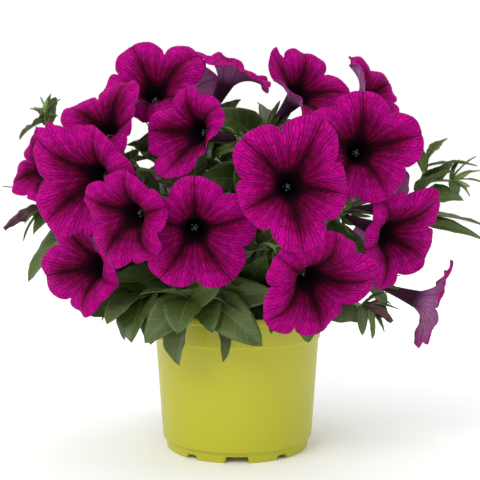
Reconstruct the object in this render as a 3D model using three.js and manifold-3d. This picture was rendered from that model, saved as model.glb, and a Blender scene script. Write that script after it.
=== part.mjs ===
// Potted petunia: a lime-green pot, its soil, leafy stems and open magenta blooms.
// Millimetres, +Z up. The origin is the middle of the pot's base, on the surface it stands on,
// and the side that faces -Y is the front.
import * as THREE from 'three';
import { mergeVertices } from 'three/addons/utils/BufferGeometryUtils.js';
import Module from 'manifold-3d';

const wasm = await Module();
wasm.setup();

// Driving dimensions of the pot
const potHeight = 98;
const rimRadius = 60;
const wall = 1.4;
const bandHeight = 20;
const bandStep = 1.3;
const bodyRadiusLow = 53.6;
const footRadius = 50.8;
const footHeight = 5.7;
const footLean = 0.6;
const footRingWidth = 4;
const bodyLow = 7.9;
const floorLift = 3.2;
const floorInset = 1;
const padRadius = 15;
const slopeRun = 2;
const bandSlope = 1.2;
const innerStep = 1.5;
const lipHeight = 4;
const lipWidth = 0.8;
const lipSlope = 0.6;
const potSides = 26;
const drainHoles = 5;
const drainHoleRadius = 4;
const drainCircle = 31;
const notchFlare = 1.6;
const notchLength = 12;
const notchInset = 8;
const footNotches = [
  { angle: -90, width: 14, height: 4.4 },
  { angle: 90, width: 14, height: 4.4 },
  { angle: -127, width: 7, height: 3 },
  { angle: 53, width: 7, height: 3 },
  { angle: -53, width: 7, height: 3 },
  { angle: 127, width: 7, height: 3 },
];

// Driving dimensions of the soil
const soilTop = 86;
const soilDome = 3.5;
const seatGap = 0.3;
const stemHoleDepth = 10;
const stemHoleRadius = 2.6;
const holeReach = 30;
const soilSlack = 0.6;
const soilFootInset = 1.4;
const soilShoulder = 20;
const shoulderRise = 0.6;
const soilSides = 18;

// Driving dimensions of a bloom
const lobes = 5;
const throatRadius = 6;
const throatDepth = 11;
const tubeLength = 29;
const tubeEndRadius = 2.3;
const petalThickness = 0.8;
const funnelSlope = 62;
const edgeDroop = 12;
const petalReach = 0.9;
const notchDepth = 0.76;
const lobeRoundness = 0.52;
const notchFold = 0.4;
const notchBlend = 0.32;
const foldStart = 0.3;
const warpHeight = 2.2;
const creaseDepth = 1.1;
const creaseWidth = 0.1;
const slopeSteps = 14;
const strongFold = 58;

// Driving dimensions of the greens
const stemRadius = 1.5;
const sideStemRadius = 1.2;
const stemSides = 4;
const stemStep = 30;
const calyxFootRadius = 2.1;
const calyxRadius = 3.1;
const calyxLength = 6;
const calyxWall = 0.5;
const calyxTwist = 20;
const sepalLength = 15;
const sepalHalfTurn = 0.42;
const sepalSpread = 24;
const sepalSway = 12;
const leafThickness = 0.7;
const largeLeaf = 46;
const leafFoot = 0.11;
const leafSkew = 0.8;
const leafFullness = 0.9;
const leafLift = 0.3;
const leafWave = 0.07;
const leafWaves = 9;
const leafArch = 42;
const leafWidthShare = 0.5;
const leafClearance = 5.5;
const ownClearance = 4.5;

// How leaves are set along a stem
const firstLeaf = 0.24;
const leafSpan = 0.66;
const leafSize = 40;
const leafSizeSpread = 14;
const leafTwist = 0.5;
const goldenAngle = 137.5;
const nextTryAngle = 51;
const leafTries = 28;
const triesPerSize = 7;
const sizeStep = 0.14;

const degrees = Math.PI / 180;
const up = new THREE.Vector3(0, 0, 1);

// Each bloom: where its throat is, the way it faces (azimuth from the front towards +X, then
// elevation), its radius, the turn of its lobes, how soon the funnel flares, how far each lobe
// folds back at its edge, and each lobe's length as a share of the radius.
const blooms = [
  {
    at: [-56, -29, 246], face: [-4, 38], radius: 36, spin: -27, flare: 1.3,
    folds: [55, 5, 0, 15, 60], reach: [0.85, 1.2, 1.14, 1.02, 0.8],
  },
  {
    at: [-84, -57, 219], face: [-15, 42], radius: 35, spin: 7, flare: 1.3,
    folds: [-60, 0, 5, 10, 20], reach: [0.8, 1.14, 1, 0.95, 0.8],
  },
  {
    at: [-84, -77, 191], face: [-34, -10], radius: 44, spin: 0, flare: 1.1,
    folds: [20, 5, 0, 5, 15], reach: [0.9, 0.82, 1.1, 1.12, 0.9],
  },
  {
    at: [-129, -26, 198], face: [-55, 12], radius: 33, spin: -12, flare: 1.3,
    folds: [20, 5, 0, 0, 15], reach: [0.9, 1, 1, 1.02, 0.78],
  },
  {
    at: [-59, -107, 168], face: [-38, -14], radius: 31, spin: 10, flare: 1.3,
    folds: [60, 5, 0, 5, 40], reach: [0.9, 0.95, 1.1, 1.25, 1],
  },
  {
    at: [-88, -58, 133], face: [-48, 0], radius: 37, spin: 47, flare: 0.95,
    folds: [-60, 0, 5, 5, 55], reach: [0.85, 1.12, 1.3, 0.95, 0.8],
  },
  {
    at: [-22, -82, 218], face: [-44, 5], radius: 35, spin: -38, flare: 1.2,
    folds: [-60, 45, 0, 0, -40], reach: [0.8, 0.82, 0.86, 1.12, 1.02],
  },
  {
    at: [-25, -104, 159], face: [2, -14], radius: 37, spin: 18, flare: 1.7,
    folds: [12, 10, 10, 10, 10], reach: [1.06, 0.95, 0.82, 1, 1.05],
  },
  {
    at: [30, -118, 184], face: [7, 3], radius: 39, spin: -8, flare: 1.9,
    folds: [10, 0, 5, 15, 5], reach: [0.9, 1.08, 1.02, 0.82, 1],
  },
  {
    at: [75, -80, 206], face: [8, 5], radius: 38, spin: 14, flare: 1.8,
    folds: [5, 0, 15, 30, 20], reach: [1.08, 1, 1.05, 0.9, 0.94],
  },
  {
    at: [-8, -5, 260], face: [84, 64], radius: 34, spin: 20, flare: 1.1,
    folds: [-35, 15, 45, 40, -30], reach: [1, 1, 1, 1.1, 1],
  },
  {
    at: [39, -45, 244], face: [35, 32], radius: 36, spin: -6, flare: 1.3,
    folds: [5, 5, -45, -60, 10], reach: [1.08, 1, 1, 0.9, 1],
  },
  {
    at: [90, -4, 248], face: [52, 28], radius: 33, spin: 20, flare: 1.3,
    folds: [10, 5, -50, -70, 10], reach: [1, 1, 1, 0.9, 1],
  },
  {
    at: [93, -62, 156], face: [46, -18], radius: 39, spin: 50, flare: 0.9,
    folds: [5, 50, 10, 12, 5], reach: [1.12, 0.82, 0.85, 0.98, 1.15],
  },
  {
    at: [41, -101, 131], face: [32, -26], radius: 39, spin: 5, flare: 1.1,
    folds: [0, 45, 50, 10, 10], reach: [1.18, 0.98, 0.92, 1.02, 1],
  },
  {
    at: [126, -22, 107], face: [85, -20], radius: 34, spin: 0, flare: 0.9,
    folds: [15, 10, 20, 15, 10], reach: [1, 1.1, 1, 1, 1.05],
  },
  {
    at: [-108, 58, 140], face: [-108, -8], radius: 35, spin: 12, flare: 1.4,
    folds: [10, 20, 5, 55, 10], reach: [1, 1, 0.95, 1, 0.9],
  },
  {
    at: [-108, 66, 206], face: [-125, 22], radius: 36, spin: 40, flare: 1.5,
    folds: [15, 5, 40, 10, 10], reach: [1, 0.95, 1, 1.05, 1],
  },
  {
    at: [-42, 56, 256], face: [-160, 40], radius: 34, spin: 5, flare: 1.5,
    folds: [10, 50, 15, 5, 20], reach: [1, 1, 0.95, 1, 0.9],
  },
  {
    at: [-48, 104, 178], face: [-155, 8], radius: 37, spin: 28, flare: 1.7,
    folds: [5, 10, 20, 10, 55], reach: [1, 1.05, 1, 0.9, 1],
  },
  {
    at: [-74, 84, 124], face: [-145, -14], radius: 34, spin: 0, flare: 1.5,
    folds: [20, 55, 5, 10, 15], reach: [1, 0.95, 1, 1, 1],
  },
  {
    at: [46, 90, 208], face: [165, 20], radius: 36, spin: 16, flare: 1.4,
    folds: [10, 15, 5, 50, 10], reach: [1, 1, 1.05, 1, 0.92],
  },
  {
    at: [14, 108, 146], face: [172, -8], radius: 36, spin: 33, flare: 1.6,
    folds: [15, 10, -50, 10, 5], reach: [1, 1, 0.9, 1.05, 1],
  },
  {
    at: [94, 84, 204], face: [142, 10], radius: 37, spin: 9, flare: 1.6,
    folds: [5, 55, 10, 20, 10], reach: [1, 0.95, 1, 1, 1.05],
  },
  {
    at: [92, 76, 128], face: [132, -14], radius: 34, spin: 25, flare: 1.5,
    folds: [10, 10, 15, 55, 20], reach: [1, 1.05, 1, 0.9, 1],
  },
  {
    at: [112, 38, 170], face: [110, 2], radius: 34, spin: 48, flare: 1.4,
    folds: [20, 10, 55, 5, 10], reach: [1, 1, 0.95, 1, 1],
  },
];

// Each leafy stem: the root's place in the soil, the blooms at its ends, and how many leaves
// the rule below tries to give it.
const bloomStems = [
  { name: 'stem_front_high', root: [-3, -8], ends: [6, 10], leaves: 4 },
  { name: 'stem_front_middle', root: [3, -22], ends: [8, 7], leaves: 4 },
  { name: 'stem_front_right', root: [16, -12], ends: [9, 11], leaves: 4 },
  { name: 'stem_front_low', root: [14, -24], ends: [14, 13], leaves: 3 },
  { name: 'stem_left_high', root: [-12, -6], ends: [0, 1], leaves: 5 },
  { name: 'stem_left_middle', root: [-16, -16], ends: [2, 4], leaves: 3 },
  { name: 'stem_left_low', root: [-28, -14], ends: [5], leaves: 3 },
  { name: 'stem_left_side', root: [-24, 2], ends: [3, 16], leaves: 4 },
  { name: 'stem_right_high', root: [12, 2], ends: [12], leaves: 4 },
  { name: 'stem_right_side', root: [28, -4], ends: [15], leaves: 3 },
  { name: 'stem_right_back', root: [24, 10], ends: [25, 23], leaves: 5 },
  { name: 'stem_back_high', root: [0, 8], ends: [21, 18], leaves: 6 },
  { name: 'stem_back_left', root: [-14, 10], ends: [17, 19], leaves: 5 },
  { name: 'stem_back_low', root: [-12, 24], ends: [20, 22], leaves: 5 },
  { name: 'stem_back_right', root: [18, 24], ends: [24], leaves: 4 },
];

// Each side shoot: the four points of its curve from the soil, chosen by hand, and the tips its
// leaves reach to, each with its place along the curve, its width and how far it arches over.
const shoots = [
  {
    name: 'shoot_rim_front',
    path: [[-8, -30, 76], [-8, -30, 116], [-20, -52, 116], [-31, -67, 112]],
    leaves: [
      { on: 0.97, tip: [14, -73, 88], width: 21, arch: 80 },
      { on: 0.95, tip: [-37, -71, 70], width: 22, arch: 70 },
      { on: 0.9, tip: [-9, -70, 72], width: 17, arch: 70 },
      { on: 0.75, tip: [8, -66, 110], width: 13, arch: 50 },
      { on: 1, tip: [-62, -76, 116], width: 15, arch: 45 },
      { on: 0.98, tip: [-36, -94, 120], width: 15, arch: 40 },
    ],
  },
  {
    name: 'shoot_rim_left',
    path: [[-32, -24, 76], [-32, -24, 116], [-52, -40, 116], [-66, -46, 112]],
    leaves: [
      { on: 0.98, tip: [-90, -50, 96], width: 17, arch: 60 },
      { on: 0.92, tip: [-74, -56, 84], width: 17, arch: 80 },
      { on: 0.85, tip: [-56, -62, 82], width: 18, arch: 85 },
      { on: 1, tip: [-100, -40, 110], width: 13, arch: 35 },
    ],
  },
  {
    name: 'shoot_rim_right',
    path: [[28, -28, 76], [28, -28, 112], [42, -46, 110], [54, -56, 107]],
    leaves: [
      { on: 0.97, tip: [46, -66, 84], width: 17, arch: 90 },
      { on: 0.8, tip: [22, -68, 90], width: 15, arch: 80 },
      { on: 1, tip: [84, -60, 102], width: 16, arch: 45 },
    ],
  },
  {
    name: 'shoot_left_tip',
    path: [[-34, 4, 76], [-34, 4, 150], [-120, 6, 160], [-138, -4, 238]],
    leaves: [
      { on: 0.99, tip: [-154, -8, 219], width: 17, arch: 40 },
      { on: 0.97, tip: [-128, -8, 249], width: 13, arch: 25 },
      { on: 1, tip: [-146, 4, 243], width: 10, arch: 25 },
      { on: 0.95, tip: [-146, 26, 222], width: 14, arch: 40 },
      { on: 0.72, tip: [-132, 26, 190], width: 16, arch: 40 },
      { on: 0.5, tip: [-104, -12, 150], width: 17, arch: 40 },
    ],
  },
  {
    name: 'shoot_right_tip',
    path: [[34, 2, 76], [34, 2, 150], [124, 0, 120], [136, -8, 212]],
    leaves: [
      { on: 0.84, tip: [148, -34, 196], width: 14, arch: 30 },
      { on: 0.7, tip: [174, -34, 156], width: 15, arch: 40 },
      { on: 0.98, tip: [146, -20, 219], width: 11, arch: 25 },
      { on: 0.95, tip: [168, -16, 200], width: 10, arch: 30 },
      { on: 0.92, tip: [116, -14, 232], width: 11, arch: 30 },
      { on: 0.4, tip: [92, -28, 118], width: 16, arch: 40 },
    ],
  },
  {
    name: 'shoot_rim_back',
    path: [[8, 34, 76], [8, 34, 114], [2, 58, 114], [-6, 68, 110]],
    leaves: [
      { on: 0.97, tip: [-34, 84, 92], width: 19, arch: 70 },
      { on: 0.95, tip: [4, 78, 74], width: 19, arch: 75 },
      { on: 0.85, tip: [32, 78, 86], width: 18, arch: 70 },
      { on: 1, tip: [-30, 72, 122], width: 14, arch: 40 },
    ],
  },
];

// Random numbers that are the same on every run
function makeRandom(seed) {
  let state = seed >>> 0;
  return () => {
    state = (Math.imul(state, 1664525) + 1013904223) >>> 0;
    return state / 4294967296;
  };
}

function smooth(low, high, value) {
  const t = Math.min(1, Math.max(0, (value - low) / (high - low)));
  return t * t * (3 - 2 * t);
}

// Solids, and back to geometry
function toSolid(geometry) {
  const bare = geometry.clone();
  bare.deleteAttribute('normal');
  bare.deleteAttribute('uv');
  const merged = mergeVertices(bare, 1e-4);
  return new wasm.Manifold(new wasm.Mesh({
    numProp: 3,
    vertProperties: new Float32Array(merged.attributes.position.array),
    triVerts: new Uint32Array(merged.index.array),
  }));
}

function toGeometry(solid) {
  const mesh = solid.getMesh();
  const geometry = new THREE.BufferGeometry();
  geometry.setAttribute('position', new THREE.BufferAttribute(mesh.vertProperties, 3));
  geometry.setIndex(new THREE.BufferAttribute(mesh.triVerts, 1));
  geometry.computeVertexNormals();
  return geometry;
}

function fuse(solids) {
  return solids.reduce((joined, solid) => joined.add(solid));
}

function geometryFrom(points, faces) {
  const geometry = new THREE.BufferGeometry().setFromPoints(points);
  geometry.setIndex(faces.flat());
  geometry.computeVertexNormals();
  return geometry;
}

// A thin plate between two sheets of points that are split into the same triangles
function plateGeometry(topPoints, bottomPoints, faces) {
  const shift = topPoints.length;
  const all = faces.concat(faces.map(([a, b, c]) => [a + shift, c + shift, b + shift]));
  const edges = new Set(faces.flatMap(([a, b, c]) => [`${a},${b}`, `${b},${c}`, `${c},${a}`]));
  for (const edge of edges) {
    const [a, b] = edge.split(',').map(Number);
    if (!edges.has(`${b},${a}`)) {
      all.push([b, a, a + shift], [b, a + shift, b + shift]);
    }
  }
  return geometryFrom(topPoints.concat(bottomPoints), all);
}

// Stems are square tubes with a step every so often, and their middle line is what leaves and
// side stems start from.
function stepsAlong(curve) {
  return Math.max(3, Math.round(curve.getLength() / stemStep));
}

function pointAlong(curve, t) {
  const line = curve.getSpacedPoints(stepsAlong(curve));
  const place = t * (line.length - 1);
  const index = Math.min(line.length - 2, Math.floor(place));
  const direction = line[index + 1].clone().sub(line[index]).normalize();
  return { point: line[index].clone().lerp(line[index + 1], place - index), direction };
}

function tubeGeometry(curve, radius) {
  const ring = new THREE.Shape();
  for (let i = 0; i < stemSides; i += 1) {
    const angle = (2 * Math.PI * i) / stemSides;
    ring[i ? 'lineTo' : 'moveTo'](radius * Math.cos(angle), radius * Math.sin(angle));
  }
  return new THREE.ExtrudeGeometry(ring, { steps: stepsAlong(curve), extrudePath: curve });
}

// The pot: turned walls, a raised floor with drain holes, and a notched foot
function potSolid() {
  const bandLow = potHeight - bandHeight;
  const bodyRadiusHigh = rimRadius - bandStep;
  const floorTop = floorLift + wall;
  const profile = [
    [0, 0],
    [padRadius, 0],
    [padRadius + slopeRun, floorLift],
    [footRadius - footRingWidth - slopeRun, floorLift],
    [footRadius - footRingWidth, 0],
    [footRadius, 0],
    [footRadius + footLean, footHeight],
    [bodyRadiusLow, bodyLow],
    [bodyRadiusHigh, bandLow],
    [rimRadius, bandLow + bandSlope],
    [rimRadius, potHeight - lipHeight - lipSlope],
    [rimRadius + lipWidth, potHeight - lipHeight],
    [rimRadius + lipWidth, potHeight],
    [rimRadius - wall, potHeight],
    [rimRadius - wall, bandLow + innerStep],
    [bodyRadiusHigh - wall, bandLow - innerStep],
    [footRadius - floorInset, floorTop],
    [0, floorTop],
  ].map(([radius, z]) => new THREE.Vector2(radius, z));
  const turned = new THREE.LatheGeometry(profile, potSides).rotateX(Math.PI / 2);
  let pot = toSolid(turned);
  for (const { angle, width, height } of footNotches) {
    const outline = new THREE.Shape([
      new THREE.Vector2(-width / 2 - notchFlare, -1),
      new THREE.Vector2(width / 2 + notchFlare, -1),
      new THREE.Vector2(width / 2, height),
      new THREE.Vector2(-width / 2, height),
    ]);
    const cutter = new THREE.ExtrudeGeometry(outline, { depth: notchLength, bevelEnabled: false });
    cutter.rotateX(Math.PI / 2).translate(0, notchInset - footRadius, 0);
    pot = pot.subtract(toSolid(cutter.rotateZ(angle * degrees + Math.PI / 2)));
  }
  for (let i = 0; i < drainHoles; i += 1) {
    const angle = ((360 * (i + 0.5)) / drainHoles) * degrees;
    const hole = new THREE.CylinderGeometry(drainHoleRadius, drainHoleRadius, 2 * drainHoleRadius, 8);
    hole.rotateX(Math.PI / 2);
    hole.translate(drainCircle * Math.cos(angle), drainCircle * Math.sin(angle), floorLift);
    pot = pot.subtract(toSolid(hole));
  }
  return pot;
}

// The soil: it fills the pot, a little domed and lumpy, with a plain hole for each stem
function soilSolid(roots) {
  const bandLow = potHeight - bandHeight;
  const floorTop = floorLift + wall + seatGap;
  const outer = rimRadius - bandStep - wall - seatGap - soilSlack;
  const profile = [
    [0, floorTop],
    [footRadius - soilFootInset, floorTop],
    [outer, bandLow - 4],
    [outer, soilTop - 1],
    [outer - soilShoulder, soilTop + soilDome * shoulderRise],
    [0, soilTop + soilDome],
  ].map(([radius, z]) => new THREE.Vector2(radius, z));
  let soil = toSolid(new THREE.LatheGeometry(profile, soilSides).rotateX(Math.PI / 2));
  for (const { point, direction } of roots) {
    const hole = new THREE.CylinderGeometry(stemHoleRadius, stemHoleRadius, holeReach, 5);
    hole.rotateX(Math.PI / 2).translate(0, 0, holeReach / 2 - seatGap);
    hole.applyQuaternion(new THREE.Quaternion().setFromUnitVectors(up, direction));
    soil = soil.subtract(toSolid(hole.translate(point.x, point.y, point.z)));
  }
  return soil;
}

// The way a bloom faces, with the directions to its right and to its top as seen from the front
function bloomAxes(bloom) {
  const azimuth = bloom.face[0] * degrees;
  const elevation = bloom.face[1] * degrees;
  const face = new THREE.Vector3(
    Math.sin(azimuth) * Math.cos(elevation),
    -Math.cos(azimuth) * Math.cos(elevation),
    Math.sin(elevation),
  );
  const right = new THREE.Vector3(Math.cos(azimuth), Math.sin(azimuth), 0);
  const top = new THREE.Vector3().crossVectors(face, right);
  return { face, right, top };
}

// A point of the petals' front face. s runs from the throat to the edge, angle goes round.
// The slope of the sheet is summed along s, so that a folded lobe keeps its length.
function petalPoint(bloom, s, angle) {
  const phase = (angle / degrees - bloom.spin) / (360 / lobes) + 0.5;
  const lobe = ((Math.floor(phase) % lobes) + lobes) % lobes;
  const t = phase - Math.floor(phase);
  const swell = Math.max(0, Math.sin(Math.PI * t));
  const next = t < 0.5 ? (lobe + lobes - 1) % lobes : (lobe + 1) % lobes;
  const share = smooth(0, notchBlend, Math.min(t, 1 - t));
  const between = (values, part) => {
    const atNotch = (part * (values[lobe] + values[next])) / 2;
    return atNotch + (values[lobe] - atNotch) * share;
  };
  const fold = between(bloom.folds, notchFold);
  const edge = between(bloom.reach, 1) * (notchDepth + (1 - notchDepth) * Math.pow(swell, lobeRoundness));
  const sheet = (bloom.radius * edge - throatRadius) / petalReach;
  let radius = throatRadius;
  let height = 0;
  for (let i = 0; i < slopeSteps; i += 1) {
    const at = ((i + 0.5) / slopeSteps) * s;
    const flared = funnelSlope * Math.pow(1 - at, bloom.flare) - edgeDroop * at * at;
    const slope = (flared - fold * smooth(foldStart, 1, at)) * degrees;
    radius += (sheet * s * Math.cos(slope)) / slopeSteps;
    height += (sheet * s * Math.sin(slope)) / slopeSteps;
  }
  const warp = warpHeight * s * s * Math.sin(2 * angle + bloom.spin);
  const crease = creaseDepth * s * Math.exp(-Math.pow((t - 0.5) / creaseWidth, 2));
  height += warp - crease;
  return new THREE.Vector3(radius * Math.cos(angle), radius * Math.sin(angle), height);
}

function petalNormal(bloom, s, angle) {
  const step = 0.01;
  const here = petalPoint(bloom, s, angle);
  const out = petalPoint(bloom, s + step, angle).sub(petalPoint(bloom, Math.max(0, s - step), angle));
  const round = petalPoint(bloom, Math.max(s, 0.02), angle + step)
    .sub(petalPoint(bloom, Math.max(s, 0.02), angle - step));
  const normal = out.cross(round).normalize();
  return { here, normal };
}

// One bloom's corolla: five fused lobes round a funnel that narrows into a closed tube. A bloom
// with strongly folded lobes has one more ring of points for the bend.
function corollaGeometry(bloom) {
  const places = [0, 0.2, 0.5, 0.8];
  const folded = Math.max(...bloom.folds.map(Math.abs)) > strongFold;
  const rings = folded ? [0, 0.3, 0.65, 1] : [0, 0.4, 1];
  const each = places.length;
  const count = each * lobes;
  const front = [];
  const back = [];
  for (const s of rings) {
    for (let j = 0; j < count; j += 1) {
      const lobe = Math.floor(j / each);
      const angle = (bloom.spin + (360 / lobes) * (lobe + places[j % each] - 0.5)) * degrees;
      const { here, normal } = petalNormal(bloom, s, angle);
      front.push(here);
      back.push(here.clone().addScaledVector(normal, -petalThickness));
    }
  }
  const points = front.concat(back);
  const backFirst = front.length;
  const tubeFirst = points.length;
  for (let lobe = 0; lobe < lobes; lobe += 1) {
    const angle = (bloom.spin + (360 / lobes) * (lobe - 0.5)) * degrees;
    const [x, y] = [tubeEndRadius * Math.cos(angle), tubeEndRadius * Math.sin(angle)];
    points.push(new THREE.Vector3(x, y, -tubeLength));
  }
  const funnelEnd = points.push(new THREE.Vector3(0, 0, -throatDepth)) - 1;
  const tubeEnd = points.push(new THREE.Vector3(0, 0, -tubeLength)) - 1;
  const faces = [];
  const edgeFirst = (rings.length - 1) * count;
  for (let j = 0; j < count; j += 1) {
    const k = (j + 1) % count;
    faces.push([funnelEnd, j, k]);
    for (let ring = 0; ring + 1 < rings.length; ring += 1) {
      const a = ring * count;
      const b = a + count;
      for (const face of [[a + j, b + j, b + k], [a + j, b + k, a + k]]) {
        faces.push(face, [face[0] + backFirst, face[2] + backFirst, face[1] + backFirst]);
      }
    }
    const rim = [edgeFirst + j, edgeFirst + k, backFirst + edgeFirst + j, backFirst + edgeFirst + k];
    faces.push([rim[1], rim[0], rim[2]], [rim[1], rim[2], rim[3]]);
    const corner = Math.floor(j / each) + (j % each < each / 2 ? 0 : 1);
    faces.push([backFirst + j, tubeFirst + (corner % lobes), backFirst + k]);
  }
  for (let lobe = 0; lobe < lobes; lobe += 1) {
    const low = [tubeFirst + lobe, tubeFirst + ((lobe + 1) % lobes)];
    faces.push([backFirst + lobe * each + each / 2, low[0], low[1]], [tubeEnd, low[1], low[0]]);
  }
  return geometryFrom(points, faces);
}

// Where a bloom's tube meets its calyx, in the frame of the whole plant
function calyxPlace(bloom) {
  const { face } = bloomAxes(bloom);
  const top = new THREE.Vector3(...bloom.at).addScaledVector(face, -tubeLength - seatGap);
  return { top, face };
}

// The calyx: a small cup below the tube, whose rim runs out into five narrow spread sepals
function calyxSolid(bloom, index) {
  const { top, face } = calyxPlace(bloom);
  const { right, top: upward } = bloomAxes(bloom);
  const points = [];
  const add = (radius, turn, z) => points.push(
    new THREE.Vector3(radius * Math.cos(turn), radius * Math.sin(turn), z),
  ) - 1;
  const low = add(0, 0, -calyxLength);
  const middle = add(0, 0, 0);
  const faces = [];
  const sepals = [];
  for (let i = 0; i < lobes; i += 1) {
    const turn = ((360 / lobes) * i + calyxTwist * index) * degrees;
    const spread = (sepalSpread + sepalSway * Math.sin(3 * i + index)) * degrees;
    sepals.push({
      foot: add(calyxFootRadius, turn, -calyxLength),
      left: add(calyxRadius, turn - sepalHalfTurn, -1),
      right: add(calyxRadius, turn + sepalHalfTurn, -1),
      inside: add(calyxRadius - calyxWall, turn, 0),
      tip: add(calyxRadius + sepalLength * Math.sin(spread), turn, sepalLength * Math.cos(spread)),
    });
  }
  sepals.forEach((sepal, i) => {
    const { foot, left, right: rightEdge, inside, tip } = sepal;
    const next = sepals[(i + 1) % lobes];
    faces.push([low, next.foot, foot], [foot, rightEdge, left]);
    faces.push([foot, next.foot, rightEdge], [rightEdge, next.foot, next.left]);
    faces.push([left, rightEdge, tip], [rightEdge, inside, tip], [inside, left, tip]);
    faces.push([middle, inside, rightEdge], [middle, rightEdge, next.left]);
    faces.push([middle, next.left, next.inside]);
  });
  const place = new THREE.Matrix4().makeBasis(right, upward, face).setPosition(top);
  return toSolid(geometryFrom(points, faces).applyMatrix4(place));
}

// A leaf from its base to its tip, arched over by the given angle. The chord and the arch give
// its length and the direction it starts in.
function makeLeaf(base, tip, width, arch, turn) {
  const chord = tip.clone().sub(base);
  const reach = chord.length();
  chord.divideScalar(reach);
  const side = new THREE.Vector3().crossVectors(up, chord);
  if (side.length() < 0.2) {
    side.set(-base.y, base.x, 0);
  }
  side.normalize().applyAxisAngle(chord, turn);
  const above = new THREE.Vector3().crossVectors(chord, side).normalize();
  const half = (arch / 2) * degrees;
  return {
    base,
    side,
    along: chord.clone().multiplyScalar(Math.cos(half)).addScaledVector(above, Math.sin(half)),
    above: above.clone().multiplyScalar(Math.cos(half)).addScaledVector(chord, -Math.sin(half)),
    length: (reach * half) / Math.sin(half),
    width,
    bend: 2 * half,
    phase: 10 * turn + width,
  };
}

// A point of a leaf: t from base to tip, across from -1 to 1, with the normal of its midrib.
// Both halves rise from the midrib, and the edges are waved.
function leafPoint(leaf, t, across) {
  const angle = leaf.bend * t;
  const along = (leaf.length * Math.sin(angle)) / leaf.bend;
  const drop = (leaf.length * (1 - Math.cos(angle))) / leaf.bend;
  const bulge = Math.max(0, Math.sin(Math.PI * Math.pow(t, leafSkew)));
  const shape = leafFoot * (1 - t) + Math.pow(bulge, leafFullness);
  const half = (leaf.width / 2) * shape;
  const normal = leaf.above.clone().multiplyScalar(Math.cos(angle));
  normal.addScaledVector(leaf.along, Math.sin(angle));
  const wave = Math.sin(leafWaves * t + 2 * across + leaf.phase);
  const lift = leafLift * Math.abs(across) * half
    + leafWave * leaf.width * across * across * shape * wave;
  const point = leaf.base.clone().addScaledVector(leaf.along, along);
  point.addScaledVector(leaf.above, -drop).addScaledVector(leaf.side, across * half);
  point.addScaledVector(normal, lift);
  return { point, normal };
}

function leafSolid(leaf) {
  const rows = leaf.length > largeLeaf ? [0.2, 0.46, 0.76] : [0.26, 0.62];
  const top = [];
  const bottom = [];
  const add = (t, across) => {
    const { point, normal } = leafPoint(leaf, t, across);
    top.push(point.clone().addScaledVector(normal, leafThickness / 2));
    bottom.push(point.clone().addScaledVector(normal, -leafThickness / 2));
  };
  add(0, 0);
  for (const t of rows) {
    for (const across of [-1, 0, 1]) {
      add(t, across);
    }
  }
  add(1, 0);
  const faces = [[0, 1, 2], [0, 2, 3]];
  for (let row = 0; row + 1 < rows.length; row += 1) {
    for (const a of [3 * row + 1, 3 * row + 2]) {
      faces.push([a, a + 3, a + 4], [a, a + 4, a + 1]);
    }
  }
  const last = 3 * rows.length - 2;
  faces.push([last, last + 3, last + 1], [last + 1, last + 3, last + 2]);
  return toSolid(plateGeometry(top, bottom, faces));
}

// Points that leaves keep clear of: petals, tubes, stems and the leaves already placed
const taken = [];

function take(owner, point, radius, leaf = false) {
  taken.push({ owner, point, radius, leaf });
}

function takeBloom(bloom) {
  const { face, right, top } = bloomAxes(bloom);
  const place = new THREE.Matrix4().makeBasis(right, top, face).setPosition(...bloom.at);
  for (const s of [0, 0.2, 0.4, 0.6, 0.8, 1]) {
    for (let angle = 0; angle < 360; angle += 12) {
      take(bloom, petalPoint(bloom, s, angle * degrees).applyMatrix4(place), 0);
    }
  }
  for (const depth of [4, 10, 16, 22, 28]) {
    take(bloom, new THREE.Vector3(0, 0, -depth).applyMatrix4(place), 5 - depth / 10);
  }
}

function takeLeaf(owner, leaf) {
  for (let t = 0.1; t < 1.05; t += 0.15) {
    for (let across = -1; across <= 1; across += 0.5) {
      take(owner, leafPoint(leaf, Math.min(t, 1), across).point, 0, t > 0.3);
    }
  }
}

// A leaf fits if it stays outside the pot's wall, above its soil and clear of what is taken
function leafFits(owner, leaf) {
  for (let t = 0.1; t < 1.05; t += 0.15) {
    for (let across = -1; across <= 1; across += 0.5) {
      const { point } = leafPoint(leaf, Math.min(t, 1), across);
      const radius = Math.hypot(point.x, point.y);
      if (point.z < soilTop + soilDome + 3 || (point.z < potHeight + 4 && radius > rimRadius - 8)) {
        return false;
      }
      for (const other of taken) {
        const own = other.owner === owner;
        const clear = own ? ownClearance : leafClearance + other.radius;
        if ((!own || (other.leaf && t > 0.3)) && other.point.distanceToSquared(point) < clear * clear) {
          return false;
        }
      }
    }
  }
  return true;
}

// The stem from the soil to its first bloom, and the side stem to its second
function stemCurves(stem) {
  const root = new THREE.Vector3(stem.root[0], stem.root[1], soilTop - stemHoleDepth + seatGap);
  const ends = stem.ends.map((index) => calyxPlace(blooms[index]));
  const first = ends[0];
  const rise = Math.min(95, Math.max(55, first.top.z - root.z - 25));
  const main = new THREE.CubicBezierCurve3(
    root,
    root.clone().addScaledVector(up, rise),
    first.top.clone().addScaledVector(first.face, -38).addScaledVector(up, -6),
    first.top.clone().addScaledVector(first.face, -calyxLength + 1),
  );
  const curves = [main];
  for (const end of ends.slice(1)) {
    const { point: start, direction } = pointAlong(main, 0.5);
    const finish = end.top.clone().addScaledVector(end.face, -calyxLength + 1);
    const pull = start.distanceTo(finish) * 0.4;
    curves.push(new THREE.CubicBezierCurve3(
      start,
      start.clone().addScaledVector(direction, pull),
      end.top.clone().addScaledVector(end.face, -calyxLength - pull * 0.8),
      finish,
    ));
  }
  return curves;
}

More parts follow.
